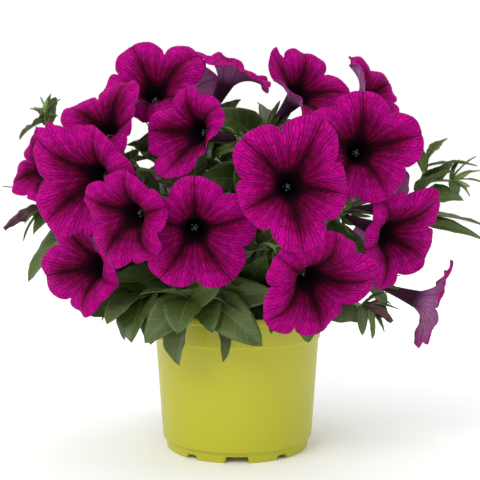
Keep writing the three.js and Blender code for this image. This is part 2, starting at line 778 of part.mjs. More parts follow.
// Leaves along a stem: each turns on from the last by the golden angle, and tries other turns
// and a smaller size until it fits
function growLeaves(owner, curves, count, random) {
  const leaves = [];
  for (let j = 0; j < count; j += 1) {
    const curve = curves[j % curves.length];
    const t = firstLeaf + (leafSpan * (j + 0.5 * random())) / count;
    const { point: base, direction: tangent } = pointAlong(curve, t);
    const outward = new THREE.Vector3(base.x, base.y, 0).normalize();
    const flat = new THREE.Vector3().crossVectors(tangent, up).normalize();
    const size = leafSize + leafSizeSpread * random();
    const turn = leafTwist * (random() - 0.5);
    let placed = null;
    for (let attempt = 0; attempt < leafTries && !placed; attempt += 1) {
      const angle = (goldenAngle * j + nextTryAngle * attempt) * degrees;
      const scale = 1 - sizeStep * Math.floor(attempt / triesPerSize);
      const way = flat.clone().applyAxisAngle(tangent, angle).multiplyScalar(0.9);
      way.addScaledVector(tangent, 0.4).addScaledVector(outward, 0.45).normalize();
      const tip = base.clone().addScaledVector(way, size * scale);
      const leaf = makeLeaf(base, tip, size * scale * leafWidthShare, leafArch, turn);
      placed = leafFits(owner, leaf) ? leaf : null;
    }
    if (placed) {
      takeLeaf(owner, placed);
      leaves.push(placed);
    }
  }
  return leaves;
}

const plastic = new THREE.MeshStandardMaterial({ color: '#c3c53a', roughness: 0.5 });
const earth = new THREE.MeshStandardMaterial({ color: '#2b211b', roughness: 1 });
const petal = new THREE.MeshStandardMaterial({ color: '#c0108c', roughness: 0.75 });
const green = new THREE.MeshStandardMaterial({ color: '#4f7a2c', roughness: 0.7 });

function addMesh(group, name, geometry, material) {
  const mesh = new THREE.Mesh(geometry, material);
  mesh.name = name;
  group.add(mesh);
  return mesh;
}

const petunia = new THREE.Group();
const shootCurves = shoots.map(({ path }) => (
  new THREE.CubicBezierCurve3(...path.map((point) => new THREE.Vector3(...point)))
));
addMesh(petunia, 'pot', toGeometry(potSolid()), plastic);
const stemLines = bloomStems.map(stemCurves);
const allLines = stemLines.concat(shootCurves.map((curve) => [curve]));
const roots = allLines.map(([curve]) => pointAlong(curve, 0));
addMesh(petunia, 'soil', toGeometry(soilSolid(roots)), earth);

blooms.forEach((bloom, index) => {
  const mesh = addMesh(petunia, `bloom_${String(index + 1).padStart(2, '0')}`, corollaGeometry(bloom), petal);
  const { face, right, top } = bloomAxes(bloom);
  mesh.setRotationFromMatrix(new THREE.Matrix4().makeBasis(right, top, face));
  mesh.position.set(...bloom.at);
  takeBloom(bloom);
});

allLines.forEach((curves, index) => {
  const owner = (bloomStems[index] || shoots[index - bloomStems.length]).name;
  for (const curve of curves) {
    for (const point of curve.getPoints(24)) {
      take(owner, point, 1);
    }
  }
});

shoots.forEach((shoot, index) => {
  const curve = shootCurves[index];
  const solids = [toSolid(tubeGeometry(curve, stemRadius))];
  for (const { on, tip, width, arch } of shoot.leaves) {
    const base = pointAlong(curve, on * 0.98).point;
    const leaf = makeLeaf(base, new THREE.Vector3(...tip), width, arch, 0);
    takeLeaf(shoot.name, leaf);
    solids.push(leafSolid(leaf));
  }
  addMesh(petunia, shoot.name, toGeometry(fuse(solids)), green);
});

bloomStems.forEach((stem, index) => {
  const curves = stemLines[index];
  const leaves = growLeaves(stem.name, curves, stem.leaves, makeRandom(101 + index));
  const solids = curves.map((curve, side) => (
    toSolid(tubeGeometry(curve, side ? sideStemRadius : stemRadius))
  ));
  for (const end of stem.ends) {
    solids.push(calyxSolid(blooms[end], end));
  }
  solids.push(...leaves.map(leafSolid));
  addMesh(petunia, stem.name, toGeometry(fuse(solids)), green);
});

export default petunia;
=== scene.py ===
# Potted petunia: fine petals, leaves, stems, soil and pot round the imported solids, in metres.
# The plant's rules repeat those of its source in millimetres, so each piece lies on its solid.
import math

import bmesh
import bpy
import numpy as np
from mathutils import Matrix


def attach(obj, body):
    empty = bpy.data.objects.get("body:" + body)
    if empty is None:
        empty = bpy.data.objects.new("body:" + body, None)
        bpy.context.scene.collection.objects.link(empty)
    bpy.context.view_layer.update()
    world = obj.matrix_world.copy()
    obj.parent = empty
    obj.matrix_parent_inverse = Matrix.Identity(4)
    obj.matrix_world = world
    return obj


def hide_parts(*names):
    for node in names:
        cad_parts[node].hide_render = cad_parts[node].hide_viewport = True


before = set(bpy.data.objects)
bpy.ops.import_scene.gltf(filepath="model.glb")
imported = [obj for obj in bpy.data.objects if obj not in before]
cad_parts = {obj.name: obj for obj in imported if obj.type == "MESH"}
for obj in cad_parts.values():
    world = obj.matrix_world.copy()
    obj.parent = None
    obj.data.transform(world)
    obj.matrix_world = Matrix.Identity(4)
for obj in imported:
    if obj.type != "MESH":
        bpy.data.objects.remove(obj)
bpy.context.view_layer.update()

MM = 0.001
UP = np.array([0.0, 0.0, 1.0])
FRONT = np.array([0.0, -1.0, 0.0])

# Driving dimensions of the pot, in millimetres
POT_HEIGHT = 98
RIM_RADIUS = 60
WALL = 1.4
BAND_HEIGHT = 20
BAND_STEP = 1.3
LIP = 0.8
BODY_RADIUS_LOW = 53.6
FOOT_RADIUS = 50.8
FOOT_HEIGHT = 6.5
FLOOR_LIFT = 3.2
PAD_RADIUS = 15
DRAIN_HOLES = 5
DRAIN_RADIUS = 4
DRAIN_CIRCLE = 31
FOOT_NOTCHES = ((-90, 14, 4.4), (90, 14, 4.4), (-127, 7, 3), (53, 7, 3), (-53, 7, 3), (127, 7, 3))
SOIL_TOP = 86
SOIL_DOME = 3.5
SEAT_GAP = 0.3
STEM_HOLE_DEPTH = 10

# Driving dimensions of a bloom
LOBES = 5
THROAT_RADIUS = 6
TUBE_LENGTH = 29
TUBE_END_RADIUS = 2.3
TUBE_WALL = 1.1
TUBE_FLOOR = 4
PETAL_THICKNESS = 0.45
FUNNEL_SLOPE = 62
PETAL_REACH = 0.9
NOTCH_DEPTH = 0.76
LOBE_ROUNDNESS = 0.52
NOTCH_FOLD = 0.4
EDGE_BEND = 12
LOBE_TWIST = 2.2
RIB_GROOVE = 1.1
SHEET_STEPS = 14

# Driving dimensions of the greens
STEM_STEP = 30
STEM_RISES = (55, 95)
STEM_RISE_BELOW = 25
STEM_FORK = 0.5
END_PULL = 38
END_DROP = 6
SIDE_PULL = 0.4
CALYX_RADIUS = 3.1
CALYX_LENGTH = 6
CALYX_PROFILE = ((CALYX_LENGTH, 1.35), (4.6, 2.0), (3.0, 2.7), (1.4, 3.0), (0.4, 2.9))
SEPAL_LENGTH = 15
SEPAL_WIDTH = 3.4
SEPAL_ARCH = 28
STEM_RADIUS = 1.9
SIDE_STEM_RADIUS = 1.4
STEM_END_RADIUS = 1.25
SHOOT_END_RADIUS = 1.1
LEAF_THICKNESS = 0.5
LEAF_FOOT = 0.11
LEAF_CUP = 0.3
LEAF_RIPPLE = 0.07
LEAF_SEAT = 0.98

# How leaves grow along a stem: the part of it that carries them, their size and its spread, their
# arch, the turn from one to the next, and the turn and the smaller size of each new try
GROWN_FROM = 0.24
GROWN_SPAN = 0.66
GROWN_SIZE = 40
GROWN_SPREAD = 14
GROWN_ARCH = 42
GOLDEN_TURN = 137.5
RETRY_TURN = 51
TRIES_OF_A_SIZE = 7
RETRY_SHRINK = 0.14
GROWN_TRIES = 28

# Room between leaves: how near a point must be to matter, where the outer part of a leaf begins, and
# the distances that leaves keep from other pieces and from leaves of their own piece
NEAR = 75
OUTER_PART = 0.3
GROWN_CLEARANCES = (5.5, 4.5)
FILLING_CLEARANCES = (3.4, 2.6)
PLACED_CLEARANCES = (2.2, 1.6)

# Fine form that the solids are too coarse for
RIB_NICK = 0.012
FRILL = 1.1
FINE_FRILL = 0.45
PUCKER = 0.22
FINE_RIPPLE = 0.35
STEM_KNOTS = 0.06
SIDE_VEINS = 7
ANTHER_SIZES = (0.75, 0.65, 1.1)
STIGMA_SIZES = (1.2, 1.1, 0.8)
SOIL_CRUMBS = 260
CRUMB_SIZES = (0.7, 1.4)


def table(names, rows):
    """Turns each row into a dictionary with the names as its keys."""
    return [dict(zip(names.split(), row)) for row in rows]


# Each bloom: its throat, the way it faces, its radius, the turn of its lobes, the flare of its funnel,
# and the fold and reach of each lobe
BLOOMS = table("at face radius spin flare folds reach", (
    ((-56, -29, 246), (-4, 38), 36, -27, 1.3, (55, 5, 0, 15, 60), (0.85, 1.2, 1.14, 1.02, 0.8)),
    ((-84, -57, 219), (-15, 42), 35, 7, 1.3, (-60, 0, 5, 10, 20), (0.8, 1.14, 1, 0.95, 0.8)),
    ((-84, -77, 191), (-34, -10), 44, 0, 1.1, (20, 5, 0, 5, 15), (0.9, 0.82, 1.1, 1.12, 0.9)),
    ((-129, -26, 198), (-55, 12), 33, -12, 1.3, (20, 5, 0, 0, 15), (0.9, 1, 1, 1.02, 0.78)),
    ((-59, -107, 168), (-38, -14), 31, 10, 1.3, (60, 5, 0, 5, 40), (0.9, 0.95, 1.1, 1.25, 1.0)),
    ((-88, -58, 133), (-48, 0), 37, 47, 0.95, (-60, 0, 5, 5, 55), (0.85, 1.12, 1.3, 0.95, 0.8)),
    ((-22, -82, 218), (-44, 5), 35, -38, 1.2, (-60, 45, 0, 0, -40), (0.8, 0.82, 0.86, 1.12, 1.02)),
    ((-25, -104, 159), (2, -14), 37, 18, 1.7, (12, 10, 10, 10, 10), (1.06, 0.95, 0.82, 1.0, 1.05)),
    ((30, -118, 184), (7, 3), 39, -8, 1.9, (10, 0, 5, 15, 5), (0.9, 1.08, 1.02, 0.82, 1)),
    ((75, -80, 206), (8, 5), 38, 14, 1.8, (5, 0, 15, 30, 20), (1.08, 1.0, 1.05, 0.9, 0.94)),
    ((-8, -5, 260), (84, 64), 34, 20, 1.1, (-35, 15, 45, 40, -30), (1, 1, 1, 1.1, 1)),
    ((39, -45, 244), (35, 32), 36, -6, 1.3, (5, 5, -45, -60, 10), (1.08, 1, 1, 0.9, 1)),
    ((90, -4, 248), (52, 28), 33, 20, 1.3, (10, 5, -50, -70, 10), (1, 1, 1, 0.9, 1)),
    ((93, -62, 156), (46, -18), 39, 50, 0.9, (5, 50, 10, 12, 5), (1.12, 0.82, 0.85, 0.98, 1.15)),
    ((41, -101, 131), (32, -26), 39, 5, 1.1, (0, 45, 50, 10, 10), (1.18, 0.98, 0.92, 1.02, 1.0)),
    ((126, -22, 107), (85, -20), 34, 0, 0.9, (15, 10, 20, 15, 10), (1, 1.1, 1, 1, 1.05)),
    ((-108, 58, 140), (-108, -8), 35, 12, 1.4, (10, 20, 5, 55, 10), (1, 1, 0.95, 1, 0.9)),
    ((-108, 66, 206), (-125, 22), 36, 40, 1.5, (15, 5, 40, 10, 10), (1, 0.95, 1, 1.05, 1)),
    ((-42, 56, 256), (-160, 40), 34, 5, 1.5, (10, 50, 15, 5, 20), (1, 1, 0.95, 1, 0.9)),
    ((-48, 104, 178), (-155, 8), 37, 28, 1.7, (5, 10, 20, 10, 55), (1, 1.05, 1, 0.9, 1)),
    ((-74, 84, 124), (-145, -14), 34, 0, 1.5, (20, 55, 5, 10, 15), (1, 0.95, 1, 1, 1)),
    ((46, 90, 208), (165, 20), 36, 16, 1.4, (10, 15, 5, 50, 10), (1, 1, 1.05, 1, 0.92)),
    ((14, 108, 146), (172, -8), 36, 33, 1.6, (15, 10, -50, 10, 5), (1, 1, 0.9, 1.05, 1)),
    ((94, 84, 204), (142, 10), 37, 9, 1.6, (5, 55, 10, 20, 10), (1, 0.95, 1, 1, 1.05)),
    ((92, 76, 128), (132, -14), 34, 25, 1.5, (10, 10, 15, 55, 20), (1, 1.05, 1, 0.9, 1)),
    ((112, 38, 170), (110, 2), 34, 48, 1.4, (20, 10, 55, 5, 10), (1, 1, 0.95, 1, 1)),
))

# Each leafy stem: its root in the soil, the blooms at its ends, and the leaves it tries to grow
BLOOM_STEMS = table("name root ends leaves", (
    ("stem_front_high", (-3, -8), (6, 10), 4),
    ("stem_front_middle", (3, -22), (8, 7), 4),
    ("stem_front_right", (16, -12), (9, 11), 4),
    ("stem_front_low", (14, -24), (14, 13), 3),
    ("stem_left_high", (-12, -6), (0, 1), 5),
    ("stem_left_middle", (-16, -16), (2, 4), 3),
    ("stem_left_low", (-28, -14), (5,), 3),
    ("stem_left_side", (-24, 2), (3, 16), 4),
    ("stem_right_high", (12, 2), (12,), 4),
    ("stem_right_side", (28, -4), (15,), 3),
    ("stem_right_back", (24, 10), (25, 23), 5),
    ("stem_back_high", (0, 8), (21, 18), 6),
    ("stem_back_left", (-14, 10), (17, 19), 5),
    ("stem_back_low", (-12, 24), (20, 22), 5),
    ("stem_back_right", (18, 24), (24,), 4),
))

# Each side shoot: its curve from the soil, and for each leaf its place on the curve, the tip it
# reaches to, its width and its arch
SHOOTS = table("name path leaves", (
    ("shoot_rim_front", ((-8, -30, 76), (-8, -30, 116), (-20, -52, 116), (-31, -67, 112)), (
        (0.97, (14, -73, 88), 21, 80), (0.95, (-37, -71, 70), 22, 70), (0.9, (-9, -70, 72), 17, 70),
        (0.75, (8, -66, 110), 13, 50), (1, (-62, -76, 116), 15, 45), (0.98, (-36, -94, 120), 15, 40),
    )),
    ("shoot_rim_left", ((-32, -24, 76), (-32, -24, 116), (-52, -40, 116), (-66, -46, 112)), (
        (0.98, (-90, -50, 96), 17, 60), (0.92, (-74, -56, 84), 17, 80), (0.85, (-56, -62, 82), 18, 85),
        (1, (-100, -40, 110), 13, 35),
    )),
    ("shoot_rim_right", ((28, -28, 76), (28, -28, 112), (42, -46, 110), (54, -56, 107)), (
        (0.97, (46, -66, 84), 17, 90), (0.8, (22, -68, 90), 15, 80), (1, (84, -60, 102), 16, 45),
    )),
    ("shoot_left_tip", ((-34, 4, 76), (-34, 4, 150), (-120, 6, 160), (-138, -4, 238)), (
        (0.99, (-154, -8, 219), 17, 40), (0.97, (-128, -8, 249), 13, 25), (1, (-146, 4, 243), 10, 25),
        (0.95, (-146, 26, 222), 14, 40), (0.72, (-132, 26, 190), 16, 40),
        (0.5, (-104, -12, 150), 17, 40),
    )),
    ("shoot_right_tip", ((34, 2, 76), (34, 2, 150), (124, 0, 120), (136, -8, 212)), (
        (0.84, (148, -34, 196), 14, 30), (0.7, (174, -34, 156), 15, 40),
        (0.98, (146, -20, 219), 11, 25), (0.95, (168, -16, 200), 10, 30),
        (0.92, (116, -14, 232), 11, 30), (0.4, (92, -28, 118), 16, 40),
    )),
    ("shoot_rim_back", ((8, 34, 76), (8, 34, 114), (2, 58, 114), (-6, 68, 110)), (
        (0.97, (-34, 84, 92), 19, 70), (0.95, (4, 78, 74), 19, 75), (0.85, (32, 78, 86), 18, 70),
        (1, (-30, 72, 122), 14, 40),
    )),
))

# Leaves of the scene alone, listed in this order: their stem or shoot, the number of its curve,
# and for each leaf its place on the curve, its tip, its width and its arch
EXTRA_LEAVES = (
    ("stem_front_right", 1, ((0.86, (-8, -50, 238), 33, 30),)),
    ("shoot_rim_front", 0, (
        (0.9, (-58, -80, 86), 24, 55), (1, (-36, -94, 94), 24, 50), (0.8, (16, -86, 85), 26, 60),
        (0.72, (-10, -88, 88), 24, 60), (1, (-6, -90, 122), 20, 40), (0.75, (26, -80, 116), 22, 45),
    )),
    ("shoot_rim_left", 0, (
        (0.95, (-82, -80, 98), 20, 50), (0.85, (-68, -78, 86), 24, 60), (0.7, (-46, -78, 92), 24, 65),
        (0.9, (-96, -56, 100), 24, 50), (0.6, (-90, -22, 106), 24, 50),
    )),
    ("shoot_rim_right", 0, (
        (0.9, (38, -90, 100), 22, 55), (1, (74, -78, 94), 22, 55), (0.95, (84, -44, 100), 22, 50),
    )),
    ("shoot_right_tip", 0, (
        (0.8, (156, -26, 176), 20, 35), (0.68, (168, -40, 148), 14, 40), (0.9, (150, -20, 204), 12, 30),
    )),
    ("shoot_left_tip", 0, (
        (0.6, (-149, -8, 118), 26, 45), (0.7, (-144, -12, 152), 22, 40),
        (0.45, (-124, -20, 118), 22, 45),
    )),
    ("stem_left_high", 0, ((0.97, (-68, -32, 216), 20, 35), (0.85, (-74, -32, 200), 22, 40),)),
    ("stem_front_high", 1, (
        (0.9, (-4, -36, 232), 24, 35), (0.8, (8, -42, 216), 24, 40), (0.72, (-16, -38, 220), 22, 40),
    )),
    ("stem_left_high", 0, (
        (0.9, (-64, -44, 206), 20, 40), (0.8, (-48, -46, 210), 20, 40), (0.95, (-40, -38, 222), 18, 40),
    )),
    ("stem_left_high", 1, (
        (0.85, (-58, -56, 196), 20, 40), (0.7, (-62, -54, 180), 20, 40),
        (0.95, (-66, -50, 214), 16, 30),
    )),
    ("stem_front_high", 0, (
        (0.75, (-24, -62, 190), 22, 40), (0.65, (-40, -54, 184), 22, 40), (0.85, (4, -68, 196), 20, 40),
        (0.3, (-14, -66, 132), 22, 45),
    )),
    ("stem_front_middle", 1, ((0.6, (-44, -62, 176), 20, 40), (0.8, (-10, -74, 184), 18, 40),)),
    ("stem_front_middle", 0, ((0.2, (0, -74, 114), 22, 50), (0.3, (20, -72, 138), 22, 45),)),
    ("stem_left_low", 0, ((0.6, (-80, -58, 116), 22, 45), (0.7, (-106, -32, 122), 22, 45),)),
    ("stem_left_middle", 0, (
        (0.3, (-42, -66, 126), 22, 45), (0.45, (-58, -62, 140), 22, 45), (0.6, (-70, -66, 156), 22, 40),
    )),
    ("stem_front_right", 0, (
        (0.85, (92, -50, 182), 22, 40), (0.75, (74, -58, 170), 22, 40), (0.65, (58, -62, 160), 22, 45),
        (0.25, (50, -56, 128), 20, 45),
    )),
    ("stem_front_right", 1, ((0.8, (14, -52, 226), 20, 35),)),
    ("stem_front_low", 1, ((0.6, (66, -58, 146), 20, 40), (0.7, (88, -50, 134), 20, 40),)),
    ("stem_front_low", 0, ((0.25, (28, -74, 112), 22, 50), (0.35, (44, -68, 120), 22, 45),)),
    ("stem_right_side", 0, ((0.8, (110, -42, 128), 20, 40), (0.9, (96, -52, 106), 20, 45),)),
    ("stem_right_high", 0, ((0.85, (66, -34, 232), 20, 35), (0.95, (104, -30, 222), 18, 35),)),
    ("shoot_rim_back", 0, (
        (0.9, (16, 90, 96), 22, 55), (0.98, (-14, 92, 92), 22, 60), (0.8, (40, 84, 98), 20, 55),
        (0.85, (-36, 86, 104), 20, 50),
    )),
)
PLACED_TRIES = 30

# Smaller leaves that fill the room left along the stems
FILLING_LEAVES = 8
FILLING_FROM = 0.2
FILLING_SPAN = 0.76
FILLING_SIZE = (26, 46)
FILLING_TRIES = 20

# Twigs of the scene alone: the place on a shoot, the rest of their curve, their narrow leaves
# with tip, width and arch, and the curves of their faded flowers and closed buds
TWIGS = [
    dict(
        name="twig_left", shoot="shoot_left_tip", on=0.62,
        path=((-114, 2, 166), (-126, -4, 174), (-136, -8, 171)),
        leaves=(((-166, -8, 186), 3.2, 50), ((-153, -4, 147), 4.5, 40), ((-148, -20, 160), 5, 40),
                ((-128, -16, 154), 5, 40), ((-150, -2, 178), 4, 30)),
        flower=((-136, -8, 171), (-145, -9, 172), (-154, -12, 164), (-164, -14, 156)),
    ),
    dict(
        name="twig_right", shoot="shoot_rim_right", on=0.92,
        path=((58, -62, 110), (68, -76, 113), (79, -80, 110)),
        leaves=(((96, -78, 118), 7, 30), ((92, -86, 94), 6.5, 40), ((86, -76, 88), 7, 50),
                ((101, -82, 108), 6, 30), ((78, -88, 92), 6.5, 40)),
        flower=((79, -80, 110), (85, -81, 111), (92, -83, 106), (97, -84, 100)),
    ),
    dict(
        name="twig_buds", shoot="shoot_right_tip", on=0.84,
        path=((136, -9, 192), (143, -11, 190), (151, -12, 190)),
        leaves=(((172, -14, 197), 5.5, 30), ((168, -12, 207), 4.6, 30), ((163, -16, 179), 7, 40),
                ((157, -10, 205), 6, 30), ((176, -14, 187), 4.4, 40), ((152, -20, 177), 7.5, 40)),
        buds=(((151, -12, 190), (155, -12, 192), (160, -13, 195), (165, -13, 197)),
              ((151, -12, 190), (154, -13, 189), (158, -14, 187), (163, -15, 186))),
    ),
    dict(
        name="twig_top", shoot="shoot_left_tip", on=0.95,
        path=((-137, -4, 231), (-137, -5, 234), (-136, -6, 237)),
        leaves=(((-131, -10, 251), 3.6, 20), ((-124, -12, 247), 3.6, 30), ((-147, -6, 241), 3.6, 30),
                ((-144, -10, 229), 4, 40), ((-126, -12, 235), 4, 30), ((-139, -8, 249), 3.4, 20)),
        buds=(((-136, -6, 237), (-136, -7, 240), (-135, -8, 243), (-134, -9, 247)),),
    ),
]

# Fineness of the meshes
LOBE_STEPS = 28
PETAL_RINGS = 26
TUBE_RINGS = 7
LEAF_ROWS = 18
LEAF_COLUMNS = 10
STEM_SIDES = 8
STEM_POINTS = 36
POT_SIDES = 160
SOIL_RINGS = 40
SOIL_SIDES = 120

# Camera, read from the photograph's ellipses of the rim and the base
CAMERA_AT = (0.002, -0.62, 0.175)
CAMERA_DROP = 2.53
CAMERA_LENS = 64.6

# Lights: the place, strength and spread of each, where they aim, and the floor's reach
LIGHTS = (("key", (-0.9, -1.1, 1.4), 1.25, 30), ("top", (0.3, 0.2, 1.8), 0.4, 50))
LIGHT_TARGET = (0, 0, 0.17)
FLOOR_REACH = 6000


# Vectors, random numbers and curves
def unit(vector):
    length = np.linalg.norm(vector)
    return vector / length if length else vector


def turned(vector, axis, angle):
    sine, cosine = math.sin(angle), math.cos(angle)
    return vector * cosine + np.cross(axis, vector) * sine + axis * np.dot(axis, vector) * (1 - cosine)


def make_random(seed):
    state = seed

    def draw():
        nonlocal state
        state = (state * 1664525 + 1013904223) & 0xFFFFFFFF
        return state / 4294967296

    return draw


def smooth(low, high, value):
    t = np.clip((value - low) / (high - low), 0, 1)
    return t * t * (3 - 2 * t)


def angles_round(sides):
    return np.linspace(0, 2 * math.pi, sides, endpoint=False)


def ring_points(radius, angle, height):
    return np.stack(np.broadcast_arrays(radius * np.cos(angle), radius * np.sin(angle), height), -1)


def lengths_along(points):
    return np.concatenate([[0], np.cumsum(np.linalg.norm(np.diff(points, axis=0), axis=1))])


def bezier(curve, t):
    t = np.asarray(t, float)[..., None]
    a, b, c, d = (np.asarray(point, float) for point in curve)
    return a * (1 - t) ** 3 + 3 * b * t * (1 - t) ** 2 + 3 * c * t * t * (1 - t) + d * t**3


def spaced(curve, count):
    """Evenly spaced points of the curve, and its length."""
    grid = np.linspace(0, 1, 201)
    lengths = lengths_along(bezier(curve, grid))
    return bezier(curve, np.interp(np.linspace(0, lengths[-1], count + 1), lengths, grid)), lengths[-1]


def line_of(curve):
    """The straight steps in which the source draws the curve."""
    length = spaced(curve, 3)[1]
    return spaced(curve, max(3, math.floor(length / STEM_STEP + 0.5)))[0]


def place_on(line, t):
    """The point at the share t of the line, and the line's direction there."""
    place = t * (len(line) - 1)
    index = min(len(line) - 2, math.floor(place))
    step = line[index + 1] - line[index]
    return line[index] + step * (place - index), unit(step)


def point_along(curve, t):
    return place_on(line_of(curve), t)


def smooth_point_along(curve, t):
    return place_on(spaced(curve, (len(line_of(curve)) - 1) * 8)[0], t)[0]


# Form of the blooms
def bloom_axes(bloom):
    azimuth, elevation = (math.radians(angle) for angle in bloom["face"])
    face = np.array([
        math.sin(azimuth) * math.cos(elevation),
        -math.cos(azimuth) * math.cos(elevation),
        math.sin(elevation),
    ])
    right = np.array([math.cos(azimuth), math.sin(azimuth), 0.0])
    return right, np.cross(face, right), face


def petal_points(bloom, s, angle, detail=0.0):
    """Points of the petals' front face: s runs from the throat to the edge, angle goes round."""
    s, angle = np.broadcast_arrays(np.asarray(s, float), np.asarray(angle, float))
    folds = np.array(bloom["folds"], float)
    reaches = np.array(bloom["reach"], float)
    phase = (np.degrees(angle) - bloom["spin"]) / (360 / LOBES) + 0.5
    lobe = np.floor(phase).astype(int) % LOBES
    t = phase - np.floor(phase)
    swell = np.clip(np.sin(np.pi * t), 0, None)
    beside = np.where(t < 0.5, (lobe + LOBES - 1) % LOBES, (lobe + 1) % LOBES)
    share = smooth(0, 0.32, np.minimum(t, 1 - t))
    notch_fold = NOTCH_FOLD * (folds[lobe] + folds[beside]) / 2
    fold = notch_fold + (folds[lobe] - notch_fold) * share
    notch_reach = (reaches[lobe] + reaches[beside]) / 2
    reach = notch_reach + (reaches[lobe] - notch_reach) * share
    edge = reach * (NOTCH_DEPTH + (1 - NOTCH_DEPTH) * swell**LOBE_ROUNDNESS)
    middle = np.abs(t - 0.5)
    # Fine form that the solids are too coarse for: a nick at each midrib and softly waved edges
    seed = bloom["spin"] + 3.7 * bloom["radius"]
    edge = edge - detail * RIB_NICK * np.exp(-((middle / 0.02) ** 2))
    sheet = (bloom["radius"] * edge - THROAT_RADIUS) / PETAL_REACH
    radius = np.full(s.shape, float(THROAT_RADIUS))
    height = np.zeros(s.shape)
    for i in range(SHEET_STEPS):
        at = ((i + 0.5) / SHEET_STEPS) * s
        slope = FUNNEL_SLOPE * (1 - at) ** bloom["flare"] - EDGE_BEND * at * at - fold * smooth(0.3, 1, at)
        radius += sheet * s * np.cos(np.radians(slope)) / SHEET_STEPS
        height += sheet * s * np.sin(np.radians(slope)) / SHEET_STEPS
    height += LOBE_TWIST * s * s * np.sin(2 * angle + bloom["spin"])
    height -= RIB_GROOVE * s * np.exp(-((t - 0.5) / 0.1) ** 2)
    frill = s**3 * (FRILL * np.sin(8 * angle + seed) + FINE_FRILL * np.sin(17 * angle + 1.7 * seed))
    pucker = PUCKER * s * np.sin(26 * np.pi * middle) * np.exp(-3 * middle)
    height += detail * (frill + pucker)
    return ring_points(radius, angle, height)


def calyx_place(bloom):
    face = bloom_axes(bloom)[2]
    return np.array(bloom["at"], float) + face * (-TUBE_LENGTH - SEAT_GAP), face


# Form of the leaves
def make_leaf(base, tip, width, arch, turn, facing=UP):
    chord = tip - base
    reach = np.linalg.norm(chord)
    chord = chord / reach
    side = np.cross(facing, chord)
    if np.linalg.norm(side) < 0.2:
        side = np.cross(UP, chord)
    if np.linalg.norm(side) < 0.2:
        side = np.array([-base[1], base[0], 0.0])
    side = turned(unit(side), chord, turn)
    above = unit(np.cross(chord, side))
    half = math.radians(arch / 2)
    return dict(
        base=base,
        side=side,
        along=chord * math.cos(half) + above * math.sin(half),
        above=above * math.cos(half) - chord * math.sin(half),
        length=reach * half / math.sin(half),
        width=width,
        bend=2 * half,
        phase=10 * turn + width,
    )


def leaf_points(leaf, t, across, detail=0.0):
    t, across = np.broadcast_arrays(np.asarray(t, float), np.asarray(across, float))
    angle = leaf["bend"] * t
    along = leaf["length"] * np.sin(angle) / leaf["bend"]
    drop = leaf["length"] * (1 - np.cos(angle)) / leaf["bend"]
    shape = LEAF_FOOT * (1 - t) + np.clip(np.sin(np.pi * t**0.8), 0, None) ** (0.9 - 0.22 * detail)
    half = leaf["width"] / 2 * shape
    normal = leaf["above"] * np.cos(angle)[..., None] + leaf["along"] * np.sin(angle)[..., None]
    lift = LEAF_CUP * np.abs(across) * half
    wave = np.sin(9 * t + 2 * across + leaf["phase"]) + detail * FINE_RIPPLE * np.sin(31 * t + leaf["phase"])
    lift = lift + LEAF_RIPPLE * leaf["width"] * across * across * shape * wave
    point = leaf["base"] + leaf["along"] * along[..., None] - leaf["above"] * drop[..., None]
    point = point + leaf["side"] * (across * half)[..., None] + normal * lift[..., None]
    return point, normal


# Room for leaves: the points that the plant takes up, with a radius round each, the piece that they
# belong to, and whether leaves of the same piece keep clear of them
taken = []


def take(owner, points, radius=0, outer=False):
    marks = [np.broadcast_to(mark, len(points)) for mark in (radius, owner, outer)]
    taken.append([points] + marks)


def take_petals(bloom, shares, step):
    s, angle = np.meshgrid(shares, np.radians(np.arange(0, 360, step)), indexing="ij")
    take("bloom", petal_points(bloom, s, angle).reshape(-1, 3) @ np.stack(bloom_axes(bloom)) + bloom["at"])


def take_tube(bloom):
    depths = np.array([4, 10, 16, 22, 28], float)
    take("bloom", bloom["at"] - depths[:, None] * bloom_axes(bloom)[2], 5 - depths / 10)


def everything_near(base):
    everything = [np.concatenate(part) for part in zip(*taken)]
    near = np.linalg.norm(everything[0] - base, axis=1) < NEAR
    return [part[near] for part in everything]


def sample_places(t):
    """Places along and across a leaf at which it looks for room."""
    return [grid.ravel() for grid in np.meshgrid(t, [-1, -0.5, 0, 0.5, 1], indexing="ij")]


SOURCE_SAMPLES = sample_places(np.minimum(np.cumsum([0.1] + [0.15] * 6), 1))
FINE_SAMPLES = sample_places(np.linspace(0.12, 1, 10))


def leaf_fits(owner, leaf, everything, samples, clearances, beside_pot=False):
    points = leaf_points(leaf, *samples)[0]
    radius = np.hypot(points[:, 0], points[:, 1])
    height = points[:, 2]
    if beside_pot:
        blocked = (height < POT_HEIGHT + 2) & (radius < RIM_RADIUS + 2.5)
    else:
        in_rim = (height < POT_HEIGHT + 4) & (radius > RIM_RADIUS - 8)
        blocked = in_rim | (height < SOIL_TOP + SOIL_DOME + 3)
    if blocked.any():
        return False
    others, other_radius, owners, outer = everything
    gap = ((points[:, None, :] - others[None, :, :]) ** 2).sum(-1)
    own = owners == owner
    clear = np.where(own, clearances[1], clearances[0] + other_radius) ** 2
    counts = ~own[None, :] | (outer[None, :] & (samples[0] > OUTER_PART)[:, None])
    return not ((gap < clear[None, :]) & counts).any()


def settle(owner, leaf, curve, t, samples):
    """Takes up the leaf's room, and moves its foot from the source's straight step to the round stem."""
    take(owner, leaf_points(leaf, *samples)[0], 0, samples[0] > OUTER_PART)
    leaf["shift"] = smooth_point_along(curve, t) - leaf["base"]
    return [leaf]


